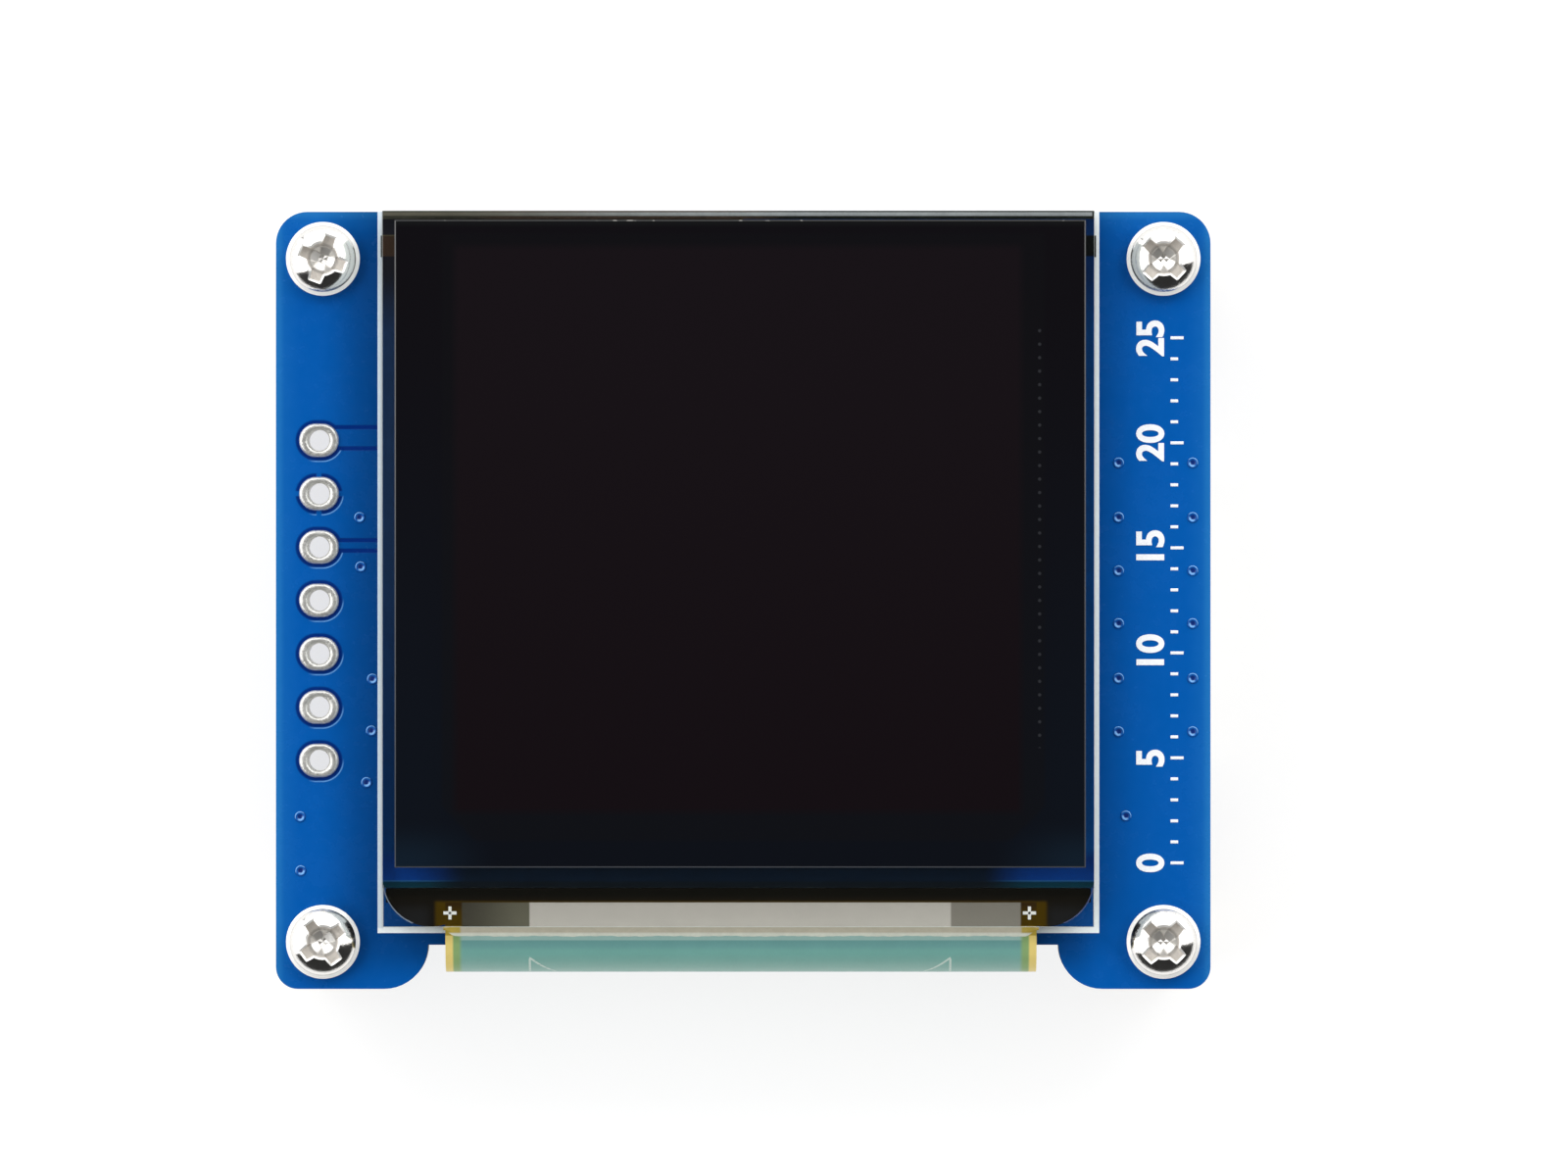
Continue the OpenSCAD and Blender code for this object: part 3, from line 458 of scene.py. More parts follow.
class Wire:
    """A node's output. Arithmetic on it adds the nodes that work the result out."""

    __add__, __sub__, __mul__, __truediv__ = maths("ADD"), maths("SUBTRACT"), maths("MULTIPLY"), maths("DIVIDE")
    __gt__, __lt__, __abs__ = maths("GREATER_THAN"), maths("LESS_THAN"), maths("ABSOLUTE")
    greater, lesser, sign, root = maths("MAXIMUM"), maths("MINIMUM"), maths("SIGN"), maths("SQRT")

    def __init__(self, graph, socket):
        self.graph, self.socket = graph, socket

    def __rsub__(self, other):
        return self.graph.math("SUBTRACT", other, self)

    def repeated(self, half):
        """The same stretch from -half to half over and over."""
        return self.graph.math("WRAP", self, half, -half)

    def ramp(self, low, high, start=0.0, end=1.0):
        """Smooth change from start to end as this goes from low to high."""
        inputs = {0: self, 1: low, 2: high, 3: start, 4: end}
        return self.graph.wire("ShaderNodeMapRange", inputs, interpolation_type="SMOOTHSTEP")

    def fade(self, low, high):
        """Smooth change from 1 to 0 as this goes from low to high."""
        return self.ramp(low, high, 1.0, 0.0)

    def colour(self, first, second):
        """The first colour where this is 0, the second where it is 1."""
        return self.graph.wire("ShaderNodeMix", {0: self, 6: first, 7: second}, 2, data_type="RGBA")

    def number(self, first, second):
        """The first number where this is 0, the second where it is 1."""
        return self.graph.wire("ShaderNodeMix", {0: self, 2: first, 3: second})


class Graph:
    """Adds nodes to one material or node group, each input fed by a number, a colour or another node's output."""

    def __init__(self, tree):
        self.tree = tree

    def feed(self, socket, value):
        """Links another node's output to an input, or sets the input's own value."""
        value = getattr(value, "socket", value)
        if isinstance(value, bpy.types.NodeSocket):
            self.tree.links.new(value, socket)
        else:
            socket.default_value = value if isinstance(value, (int, float)) else tuple(value)

    def node(self, kind, inputs=(), **options):
        """A new node with its options set and its inputs, a dictionary by name or number, fed."""
        made = self.tree.nodes.new(kind)
        for name, value in options.items():
            setattr(made, name, value)
        for key, value in dict(inputs).items():
            self.feed(made.inputs[key], value)
        return made

    def wire(self, kind, inputs=(), output=0, **options):
        """One output of a new node."""
        return Wire(self, self.node(kind, inputs, **options).outputs[output])

    def wires(self, made):
        """Every output of a node, by name."""
        return {socket.name: Wire(self, socket) for socket in made.outputs}

    def math(self, operation, first, second=0.0, third=0.0, clamp=False):
        """The result of one Math node."""
        inputs = {0: first, 1: second, 2: third}
        return self.wire("ShaderNodeMath", inputs, operation=operation, use_clamp=clamp)

    def scaled(self, vector, factor):
        """A vector or colour times a number."""
        return self.wire("ShaderNodeVectorMath", {0: vector, "Scale": factor}, operation="SCALE")

    def axes(self, vector):
        """X, Y and Z of a vector."""
        made = self.node("ShaderNodeSeparateXYZ", {0: vector})
        return [Wire(self, socket) for socket in made.outputs]

    def rays(self):
        """What kind of ray is being traced."""
        return self.wires(self.node("ShaderNodeLightPath"))

    def group(self, name, inputs):
        """The outputs of one of the shared node groups."""
        return self.wires(self.node("ShaderNodeGroup", inputs, node_tree=node_group(name)))

    def noise(self, position, scale, detail, roughness=0.5):
        """Noise from 0 to 1."""
        inputs = {"Vector": position, "Scale": scale, "Detail": detail, "Roughness": roughness}
        return self.wire("ShaderNodeTexNoise", inputs)


def build_millimetres(graph, given, result):
    """Object coordinates in millimetres, whole and as X, Y and Z."""
    whole = graph.scaled(given["Object"], 1 / MM)
    graph.feed(result["Place"], whole)
    for axis, value in zip("XYZ", graph.axes(whole)):
        graph.feed(result[axis], value)


def build_window(graph, given, result):
    """1 inside the rectangle Left to Right, Low to High, and 0 outside it, with a soft edge."""
    sides = []
    for value, low, high in (("X", "Left", "Right"), ("Y", "Low", "High")):
        for inward in (given[value] - given[low], given[high] - given[value]):
            sides.append(graph.math("ADD", inward / given["Soft"], 0.5, clamp=True))
    graph.feed(result["Mask"], sides[0] * sides[1] * (sides[2] * sides[3]))


def build_grain(graph, given, result):
    """Two sizes of noise: a height for a bump and a tone that is 1 on average."""
    coarse = graph.noise(given["Place"], given["Scale"], 4.0, 0.6)
    fine = graph.noise(given["Place"], given["Scale"] * 6.3, 2.0, 0.5)
    height = coarse * 0.65 + fine * 0.35
    graph.feed(result["Height"], height)
    graph.feed(result["Tone"], (height - 0.5) * given["Depth"] + 1.0)


def build_shade(graph, given, result):
    """A colour made lighter or darker by a tone."""
    graph.feed(result["Colour"], graph.scaled(given["Colour"], given["Tone"]))


VECTOR, FLOAT, COLOUR = "NodeSocketVector", "NodeSocketFloat", "NodeSocketColor"


def numbers(**defaults):
    """Number inputs of a node group, with their defaults."""
    return [(name, FLOAT, value) for name, value in defaults.items()]


GROUP_KINDS = {
    "Millimetres": (
        build_millimetres,
        [("Object", VECTOR, None)],
        [("Place", VECTOR), ("X", FLOAT), ("Y", FLOAT), ("Z", FLOAT)],
    ),
    "Window": (build_window, numbers(X=0, Y=0, Left=-1, Right=1, Low=-1, High=1, Soft=0.05), [("Mask", FLOAT)]),
    "Grain": (
        build_grain,
        [("Place", VECTOR, None), *numbers(Scale=1, Depth=0.1)],
        [("Height", FLOAT), ("Tone", FLOAT)],
    ),
    "Shade": (build_shade, [("Colour", COLOUR, (0.5, 0.5, 0.5, 1)), *numbers(Tone=1)], [("Colour", COLOUR)]),
}


def node_group(name):
    """The shared node group of that name, built the first time it is asked for."""
    found = bpy.data.node_groups.get(name)
    if found:
        return found
    build, inputs, outputs = GROUP_KINDS[name]
    tree = bpy.data.node_groups.new(name, "ShaderNodeTree")
    for label, kind, default in inputs:
        socket = tree.interface.new_socket(label, in_out="INPUT", socket_type=kind)
        if default is not None:
            socket.default_value = default
    for label, kind in outputs:
        tree.interface.new_socket(label, in_out="OUTPUT", socket_type=kind)
    graph = Graph(tree)
    given = graph.wires(tree.nodes.new("NodeGroupInput"))
    build(graph, given, tree.nodes.new("NodeGroupOutput").inputs)
    return tree


class Finish:
    """A new material with one Principled shader, Object coordinates in millimetres and the nodes that feed it."""

    def __init__(self, name, **plain):
        self.material = bpy.data.materials.new(name)
        self.material.use_nodes = True
        self.graph = Graph(self.material.node_tree)
        self.shader = self.material.node_tree.nodes["Principled BSDF"]
        self.output = self.material.node_tree.nodes["Material Output"]
        self.coordinates = self.graph.wires(self.graph.node("ShaderNodeTexCoord"))
        places = self.graph.group("Millimetres", {"Object": self.coordinates["Object"]})
        self.place, self.x, self.y, self.z = (places[name] for name in ("Place", "X", "Y", "Z"))
        for key, value in plain.items():
            self.set(key.replace("_", " ").title().replace("Ior", "IOR"), value)

    def set(self, socket, value):
        """Feeds an input of the shader."""
        self.graph.feed(self.shader.inputs[socket], value)

    def facing(self):
        """X, Y and Z of the surface's own direction."""
        return self.graph.axes(self.coordinates["Normal"])

    def window(self, left, right, low, high, soft=0.05):
        """1 inside a rectangle given in millimetres."""
        sides = {"X": self.x, "Y": self.y, "Left": left, "Right": right, "Low": low, "High": high, "Soft": soft}
        return self.graph.group("Window", sides)["Mask"]

    def noise(self, scale, detail):
        """Noise from 0 to 1 over the object, its scale per millimetre."""
        return self.graph.noise(self.place, scale, detail)

    def grain(self, scale, depth):
        """Height and tone of the shared grain."""
        made = self.graph.group("Grain", {"Place": self.place, "Scale": scale, "Depth": depth})
        return made["Height"], made["Tone"]

    def paint(self, colour, tone):
        """Sets the base colour, lighter or darker by the tone."""
        self.set("Base Color", self.shade(colour, tone))

    def shade(self, colour, tone):
        """The colour, lighter or darker by the tone."""
        return self.graph.group("Shade", {"Colour": colour, "Tone": tone})["Colour"]

    def bump(self, height, distance=0.02, strength=1.0):
        """Distance in millimetres for a height of 1."""
        inputs = {"Height": height, "Strength": strength, "Distance": distance * MM}
        self.set("Normal", self.graph.wire("ShaderNodeBump", inputs))


def plain_finish(name, colour, scale, depth, bump, **plain):
    """A finish of one colour with grain in its tone, its roughness and its surface."""
    made = Finish(name, **plain)
    height, tone = made.grain(scale, depth)
    made.paint(colour, tone)
    rough = plain.get("roughness", 0.5)
    made.set("Roughness", height.ramp(0.3, 0.7, rough * 0.8, min(rough * 1.25, 1)))
    made.bump(height, bump)
    return made.material


def dress(material, *nodes):
    """Gives CAD nodes their finish."""
    for name in nodes:
        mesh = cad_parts[name].data
        mesh.materials.clear()
        mesh.materials.append(material)


def settings(name):
    """The scene's values of that group."""
    return getattr(bpy.context.scene, name)


# ---------- board ----------

# tented vias on the front, in mm from the board's middle
LEFT_VIAS = [(-18.27, 3.95), (-18.22, 1.60), (-17.66, -3.74), (-17.71, -6.21), (-17.94, -8.67),
             (-21.10, -10.30), (-21.07, -12.87)]
RIGHT_VIAS = [(x, y) for x in (17.87, 21.40) for y in (6.55, 3.95, 1.41, -1.10, -3.71, -6.25)] + [(18.22, -10.26)]
# wide tracks from the header to the display: hole number, width, shift
TRACKS = [(1, 0.81, 0.12), (3, 0.30, 0.075)]
TRACK_GAP = 0.2


def board_finish():
    """Blue lacquer over copper, darker and lower where the copper is cut away round pads and tracks."""
    own = settings("oled_board")
    made = Finish("Solder_Mask", specular_ior_level=0.25)
    x, y, z = made.x, made.y, made.z
    header_x, pitch, spoke = own.header_x / MM, own.header_pitch / MM, own.spoke / MM
    straight, pad_r = own.pad_straight / MM, own.pad_r / MM
    ring_r = pad_r + own.pad_gap / MM
    half_row = own.header_n * pitch / 2
    across = x - header_x
    from_pad = (abs(across) - straight).greater(0.0)
    wrapped = y.repeated(pitch / 2)
    distance = (from_pad * from_pad + wrapped * wrapped).root()
    row = made.window(header_x - 2 * pad_r, header_x + 2 * pad_r, -half_row, half_row)
    ring = distance.ramp(pad_r - 0.04, pad_r + 0.02) * distance.fade(ring_r - 0.05, ring_r + 0.05) * row
    # painted highlight: the lacquer's step over the copper round each pad is painted pale on its lower right side
    highlight_side = from_pad * across.sign() * 0.6 - wrapped * 0.8
    step = distance.ramp(ring_r, ring_r + 0.03) * distance.fade(ring_r + 0.05, ring_r + 0.09)
    step = step * (highlight_side / distance).ramp(0.5, 0.9) * row
    # spokes keep the second pad joined to the copper round it
    second = (own.header_n - 3) / 2 * pitch
    upright = made.window(header_x - spoke, header_x + spoke, second - pitch / 2, second + pitch / 2)
    level = made.window(header_x - 2, header_x + 2, second - spoke, second + spoke)
    between = 1.0 - upright.greater(level)
    cut, step = ring * between, step * between
    top_side = z > BOARD_MIDDLE
    for number, width, shift in TRACKS:
        middle = (own.header_n + 1) / 2 * pitch - number * pitch + shift
        ends, half = (header_x + 0.78, GLASS_LOW.x / MM + 2), width / 2
        body = made.window(*ends, middle - half, middle + half)
        both = made.window(*ends, middle - half - TRACK_GAP, middle + half + TRACK_GAP)
        sides = made.graph.math("SUBTRACT", both, body, clamp=True)
        cut = (cut * (1.0 - body)).greater(sides * top_side)
        step = step * (1.0 - both)
    height, tone = made.grain(0.35, 0.16)
    # painted light: the lacquer is painted lighter towards the board's two short edges and its far edge
    from_edge = (BOARD_HIGH.x / MM - abs(x)).lesser(BOARD_HIGH.y / MM - y)
    thin = from_edge.ramp(0.1, 0.45, 0.4, 0.0) + from_edge.ramp(0.1, 1.3, 0.2, 0.0)
    # painted shade: on the front the lacquer is painted darker beside the display, most on its left and below it
    beside = abs(x - GLASS_MIDDLE) - GLASS_HALF
    below = NEAR_EDGE - y
    away = beside.greater(below)
    deep = (x < 0.0).greater(below.ramp(0.0, 0.1) * beside.fade(-1.0, 0.5))
    display_shade = deep.number(away.ramp(0.0, 1.9, 0.77, 1.0), away.ramp(0.0, 3.4, 0.57, 0.96))
    covered = made.shade(thin.colour(own.mask, own.mask_thin), top_side.number(1.0, display_shade))
    lacquer = made.shade((step * 0.75).colour(cut.colour(covered, own.mask_gap), own.glint), tone)
    flat = abs(made.facing()[2]) > 0.5
    # the cut edge shows the glass cloth's layers between the two lacquered skins
    layers = made.graph.wire("ShaderNodeCombineXYZ", {"X": x * 1.5, "Y": y * 1.5, "Z": z * 14.0})
    cloth = made.graph.noise(layers, 1.0, 3.0).ramp(0.3, 0.7, 0.72, 1.2)
    skin = abs(z - BOARD_MIDDLE).ramp(BOARD_HALF - 0.07, BOARD_HALF - 0.04)
    side = skin.colour(made.shade(own.laminate, cloth), own.mask)
    made.set("Base Color", flat.colour(side, lacquer))
    made.set("Roughness", flat.number(0.65, height.ramp(0.35, 0.65, 0.2, 0.3)))
    made.bump(1.0 - cut + made.noise(2.2, 2.0) * 0.4, 0.012)
    return made.material


def via_finish():
    """The same lacquer as the board's, with painted shade and a painted highlight: darker in the dip over a via, and
    pale where the dip's wall faces the far edge."""
    own = settings("oled_board")
    made = Finish("Via_Lacquer", roughness=0.3, specular_ior_level=0.5)
    rise = own.via_rise / MM
    proud = abs(made.z - BOARD_MIDDLE) - BOARD_HALF
    facing_x, facing_y, _ = made.facing()
    # painted highlight: the dip's wall that faces the far edge and outwards is painted pale
    lean = facing_x * made.x.sign() * 0.5 + facing_y * 0.9
    thin = lean.ramp(0.02, 0.24) * proud.ramp(0.2 * rise, 0.5 * rise)
    # painted shade: the dip's low middle and the rim's foot take the darker gap colour
    lacquer = proud.ramp(0.3 * rise, 0.9 * rise).colour(own.mask_gap, own.mask)
    height, tone = made.grain(2.0, 0.15)
    made.paint(thin.colour(lacquer, own.glint), tone)
    made.bump(height, 0.004)
    return made.material


def solder_finish():
    """Bright tin with the slow waves it sets in."""
    made = Finish("Solder_Tin", metallic=0.72)
    waves, tone = made.grain(1.6, 0.2)
    fine, _ = made.grain(9.0, 0.1)
    made.paint(settings("oled_metal").solder, tone)
    made.set("Roughness", waves.ramp(0.35, 0.65, 0.3, 0.5))
    made.bump(waves + fine * 0.15, 0.05)
    return made.material


def pad_tin(centre, straight, pad_r, hole_r, rise, steps=48, rows=15):
    """Tin on an oval pad round a hole: the straight line from the pad's outline to the hole's, at each angle, lifted
    by rise (1 - |2 s - 1|^2.4)^0.5, where s goes from 0 at the outline to 1 at the hole. A flat underside closes it."""
    angle = np.arange(steps) * 2 * np.pi / steps
    round_part = np.stack([np.cos(angle), np.sin(angle)], -1)
    outer = round_part * pad_r + np.stack([np.sign(np.round(np.cos(angle), 9)) * straight, 0 * angle], -1)
    inner = round_part * hole_r
    s = (1 - np.cos(np.linspace(0, np.pi, rows))) / 2
    flat = outer[None] * (1 - s[:, None, None]) + inner[None] * s[:, None, None]
    lift = rise * np.sqrt(np.clip(1 - np.abs(2 * s - 1) ** 2.4, 0, 1))
    z = np.repeat(lift[:, None], steps, 1)[..., None]
    points = np.concatenate([flat, z], -1).reshape(-1, 3) + centre
    return points, [closed_faces(rows, steps)]


def via_shape(radius, rise):
    """A lacquered via: a low round rim of that rise, and a dimple inside it. Each (r, z) is turned round Z."""
    r = np.array([0, 0.16, 0.3, 0.45, 0.6, 0.74, 0.85, 0.93, 1.0, 1.0, 0.0]) * radius
    z = np.array([0.06, 0.08, 0.2, 0.45, 0.74, 0.95, 1.0, 0.75, 0.05, -0.1, -0.1]) * rise
    return turned(np.stack([r, z], axis=-1)[::-1], 24)


class OLED_OT_board(bpy.types.Operator):
    """Finish the circuit board and its plated holes, and add the tented vias on both faces"""

    bl_idname = "oled.board"
    bl_label = "Board"

    def execute(self, context):
        own = context.scene.oled_board
        dress(board_finish(), "pcb")
        solder = solder_finish()
        pads = [f"header_pad_{i}" for i in range(1, own.header_n + 1)]
        dress(solder, *pads)
        tin = joined([
            pad_tin(flat_middle(pad), own.pad_straight, own.pad_r, own.hole_r, own.tin_rise) for pad in pads
        ])
        piece("header_tin_front", copies(tin, [(0, 0, BOARD_HIGH.z)]), solder)
        piece("header_tin_back", mirrored_down(tin, BOARD_LOW.z / 2), solder)
        lacquer = via_finish()
        places = [(x * MM, y * MM, BOARD_HIGH.z) for x, y in LEFT_VIAS + RIGHT_VIAS]
        vias = copies(via_shape(own.via_r, own.via_rise), places)
        piece("vias_front", vias, lacquer)
        piece("vias_back", mirrored_down(vias, BOARD_MIDDLE * MM), lacquer)
        return {"FINISHED"}


# ---------- printing ----------

# length of the printed scale in mm, and the height of a digit as a share of the font's size
SCALE_MM = 25
DIGIT_SHARE = 0.7
# in mm: how far the outline's near side keeps off the glass, and the space between the scale's numbers and its ticks
OUTLINE_OFF, SCALE_SPACE = 0.06, 0.22


def ink_finish():
    """Matt white ink, a little uneven where it was pulled through the screen. The display's outline is cooler, and
    darker along its left side and the right half of its two sides."""
    own = settings("oled_ink")
    made = Finish("White_Ink")
    half = own.line / MM / 2
    left, right = GLASS_LOW.x / MM - half, GLASS_HIGH.x / MM + half
    sides = {"low": -15.6, "high": 19, "soft": 0.08}
    darker_left = made.window(left + 0.02, left + half, **sides) * 0.9
    darker_right = made.window(right + 0.02, right + half, **sides) * 0.12
    outer = made.window(left - 2 * half, left + 0.02, **sides) * 0.8
    outline = made.window(left - 2 * half, right + 2 * half, -17, 19)
    ink = outer.colour(outline.colour(own.ink, own.ink_cool), own.ink_outer)
    height, tone = made.grain(5.0, 0.22)
    made.paint(darker_left.greater(darker_right).colour(ink, own.ink_thin), tone)
    made.set("Roughness", height.ramp(0.3, 0.7, 0.45, 0.7))
    made.bump(height, 0.006)
    return made.material


def ink_line(path, width, thickness, level, closed=False):
    """A printed line: a low profile with rounded shoulders carried along the path."""
    half = width / 2
    left = [(-half, -0.1 * thickness), (-half, 0.5 * thickness), (-0.75 * half, thickness)]
    profile = left + [(-across, up) for across, up in reversed(left)]
    points, faces = carried(path, profile, closed)
    return points + [0, 0, level], faces


def number_shape(text, height, middle, turn, level, thickness, weight, mirror=1):
    """A number in Blender's own font as a mesh: its outline is scaled to the height, turned about Z and placed.
    A mirror of -1 turns it over, for the board's back."""
    curve = bpy.data.curves.new("number", "FONT")
    curve.body = text
    curve.size = 1.0
    curve.align_x, curve.align_y = "CENTER", "CENTER"
    curve.fill_mode = "BOTH"
    curve.resolution_u = 6
    curve.offset = weight / height * DIGIT_SHARE
    curve.extrude = thickness / height * DIGIT_SHARE / 2
    carrier = bpy.data.objects.new("number", curve)
    bpy.context.scene.collection.objects.link(carrier)
    bpy.context.view_layer.update()
    mesh = bpy.data.meshes.new_from_object(carrier.evaluated_get(bpy.context.evaluated_depsgraph_get()))
    skin = bmesh.new()
    skin.from_mesh(mesh)
    bmesh.ops.remove_doubles(skin, verts=skin.verts, dist=1e-4)
    skin.to_mesh(mesh)
    skin.free()
    points = np.empty(len(mesh.vertices) * 3)
    mesh.vertices.foreach_get("co", points)
    points = points.reshape(-1, 3)
    faces = [np.array([list(p.vertices)]) for p in mesh.polygons]
    bpy.data.objects.remove(carrier)
    bpy.data.meshes.remove(mesh)
    bpy.data.curves.remove(curve)
    points = points * height / np.ptp(points[:, 1]) * [mirror, 1, 1]
    if mirror < 0:
        faces = [f[:, ::-1] for f in faces]
    flat = spun(points[:, :2], turn) + middle
    return np.column_stack([flat, points[:, 2] * thickness / np.ptp(points[:, 2]) + level]), faces


class OLED_OT_print(bpy.types.Operator):
    """Print the display's outline and a plain millimetre scale on the board's front"""

    bl_idname = "oled.print"
    bl_label = "Front print"

    def execute(self, context):
        own = context.scene.oled_ink
        ink = ink_finish()
        top = BOARD_HIGH.z
        half = own.line / 2
        left, right, low = GLASS_LOW.x - half, GLASS_HIGH.x + half, GLASS_LOW.y - half - OUTLINE_OFF * MM
        outline = [(left, GLASS_HIGH.y), (left, low), (right, low), (right, GLASS_HIGH.y)]
        piece("display_outline", ink_line(outline, own.line, own.thickness, top), ink)
        start, level = own.scale_x + own.digit / 2 + SCALE_SPACE * MM, top + own.thickness / 2
        shapes, ticks = [], []
        for value in range(SCALE_MM + 1):
            y = (value - SCALE_MM / 2) * MM
            reach = own.tick
            if value % 5 == 0:
                reach = own.long_tick
                shapes.append(number_shape(str(value), own.digit, (own.scale_x, y), math.pi / 2, level, own.thickness,
                                           own.bold))
            ticks.append(ink_line([(start, y), (start + reach, y)], own.fine_line, own.thickness, top))
        piece("scale_numbers", joined(shapes), ink, smooth=False)
        piece("scale_ticks", joined(ticks), ink)
        return {"FINISHED"}


# ---------- screws and standoffs ----------

# the screw's head and its cross recess, in mm; the core's radius is given at the top and at the ledge's inner edge
HEAD_R, HEAD_SIDE, HEAD_RISE = 1.75, 0.3, 1.0
DOME_R = (HEAD_RISE**2 + HEAD_R**2) / (2 * HEAD_RISE)
DOME_TOP = BOARD_HIGH.z / MM + HEAD_SIDE + HEAD_RISE
RECESS_SPAN, RECESS_ARM, RECESS_FOOT, RECESS_DEPTH, RECESS_LEAN = 2.5, 0.8, 0.36, 1.05, 0.12
RECESS_LEDGE, RECESS_CORE = (0.55, 0.7), (0.98, 0.34)
# how far each screw is turned, in degrees, and the widths of the recess's chamfer and of the head's bevel, in mm
RECESS_TURNS = (-20, 47, 35, 45)
RIM_W, BEVEL_W = 0.085, 0.17
# the thread in each standoff's foot, in mm: bore radius, pitch, depth, start and end
THREAD = (0.8, 0.4, 0.1, 0.18, 3.1)


def screw_finish():
    """Bright nickel. Inside the cross recess, which lies below the head's dome, the punched metal is rougher and
    uneven, so it takes light from all sides; its ledge is painted darker towards its inner edge as shade."""
    own = settings("oled_metal")
    made = Finish("Bright_Nickel", metallic=1.0)
    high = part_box("screws")[1]
    across, along = (abs(wire) - (edge / MM - HEAD_R) for wire, edge in ((made.x, high.x), (made.y, high.y)))
    squared = across * across + along * along
    # the dome's height is sqrt(R^2 - r^2) over its own centre
    depth = (DOME_R * DOME_R - squared).root() + (DOME_TOP - DOME_R) - made.z
    punched = depth.ramp(0.02, 0.08) * (squared < 1.9)
    ledge = punched * squared.ramp(0.3, 0.42)
    fine, fine_tone = made.grain(2.6, 0.12)
    rough, rough_tone = made.grain(1.9, 0.4)
    smooth = made.shade(own.nickel, fine_tone)
    # painted shade: the ledge is darker towards its inner edge, where it drops into the pit
    uneven = made.shade(own.punched, rough_tone * squared.ramp(0.4, 0.62, 0.62, 1.0))
    made.set("Base Color", ledge.colour(smooth, uneven))
    made.set("Metallic", ledge.number(punched.number(1.0, 0.75), 0.25))
    made.set("Roughness", ledge.number(punched.number(own.roughness, 0.32), 0.5))
    made.bump(ledge.number(fine * 0.08, rough), 0.08)
    return made.material


def recess_rims(turns, centres, width):
    """The burnished chamfer that punching leaves round each cross recess: a triangle carried along the line where
    the recess cuts the dome, its long side sloping down into the recess. At each angle that line is the farthest
    place whose distance from the screw's axis is still inside an arm or the core, both of which narrow with the
    dome's drop d = R - sqrt(R^2 - r^2)."""
    steps = 216
    angle = np.arange(steps) * 2 * np.pi / steps
    r = np.linspace(0.3, 1.4, 551)[None, :]
    drop = DOME_R - np.sqrt(DOME_R**2 - r**2)
    across, along = np.abs(r * np.cos(angle[:, None])), np.abs(r * np.sin(angle[:, None]))
    half = RECESS_ARM / 2 - (RECESS_ARM - RECESS_FOOT) / 2 * drop / RECESS_DEPTH
    end = RECESS_SPAN / 2 - RECESS_LEAN * drop / (RECESS_LEDGE[0] * RECESS_DEPTH)
    core = RECESS_CORE[0] - (RECESS_CORE[0] - RECESS_CORE[1]) * drop / (RECESS_LEDGE[1] * RECESS_DEPTH)
    inside = (r < core) | ((across < half) & (along < end)) | ((along < half) & (across < end))
    edge = np.where(inside, r, 0).max(axis=1)
    line = np.stack([edge * np.cos(angle), edge * np.sin(angle), np.sqrt(DOME_R**2 - edge**2) - DOME_R + DOME_TOP], -1)
    step = (np.roll(line, -1, 0) - np.roll(line, 1, 0))[:, :2]
    step /= np.linalg.norm(step, axis=1, keepdims=True)
    out = np.stack([step[:, 1], -step[:, 0], 0 * step[:, 0]], -1)
    profile = width * np.array([[0.15, 0.08], [-0.15, -2.0], [-1.0, -0.55]])
    ring = line[:, None] + out[:, None] * profile[None, :, :1] + np.array([0, 0, 1]) * profile[None, :, 1:]
    faces = [closed_faces(steps, len(profile))]
    shapes = []
    for degrees, centre in zip(turns, centres):
        points = np.concatenate([spun(ring[..., :2], math.radians(degrees)), ring[..., 2:]], -1).reshape(-1, 3) * MM
        shapes.append((points + centre, faces))
    return joined(shapes)


def head_rim(width):
    """The bevel that turning leaves round a screw's head, painted pale and mostly matt as a highlight: a closed profile
    of four points carried along a circle. Its long side falls by 0.7 of its reach, from just above the dome's
    z = sqrt(R^2 - r^2) to the head's side."""
    inner, outer = HEAD_R - width, HEAD_R + 0.004
    high = DOME_TOP - DOME_R + math.sqrt(DOME_R**2 - inner**2) + 0.01
    low = high - 0.7 * (outer - inner)
    profile = np.array([[inner, high], [outer, low], [outer, low - 0.2], [inner, high - 0.12]]) * MM
    turn = np.linspace(0, 2 * np.pi, 96, endpoint=False)
    circle = np.stack([HEAD_R * MM * np.cos(turn), HEAD_R * MM * np.sin(turn)], -1)
    return carried(circle, profile - [HEAD_R * MM, 0], closed=True)


def thread_shape(radius, pitch, depth, start, end):
    """A cut thread inside a bore: its radius falls by depth at each turn's crest, as a triangle wave of
    (height / pitch - angle / 2 pi), and a plain outer wall just outside the bore closes it."""
    steps, rows = 36, int((end - start) / pitch * 8)
    angle = np.arange(steps) / steps
    height = np.linspace(start, end, rows)
    wave = np.abs(((height[:, None] / pitch - angle[None, :]) % 1) * 2 - 1)
    fade = smooth_step((height - start) / pitch) * smooth_step((end - height) / pitch)
    inside = radius - depth * (1 - wave) * fade[:, None]
    r = np.vstack([inside, np.full((2, steps), radius + 0.01 * MM)])
    z = np.repeat(np.concatenate([height, [end, start]])[:, None], steps, 1)
    points = np.stack([r * np.cos(2 * np.pi * angle), r * np.sin(2 * np.pi * angle), z], -1)
    return points.reshape(-1, 3), [closed_faces(rows + 2, steps)[:, ::-1]]


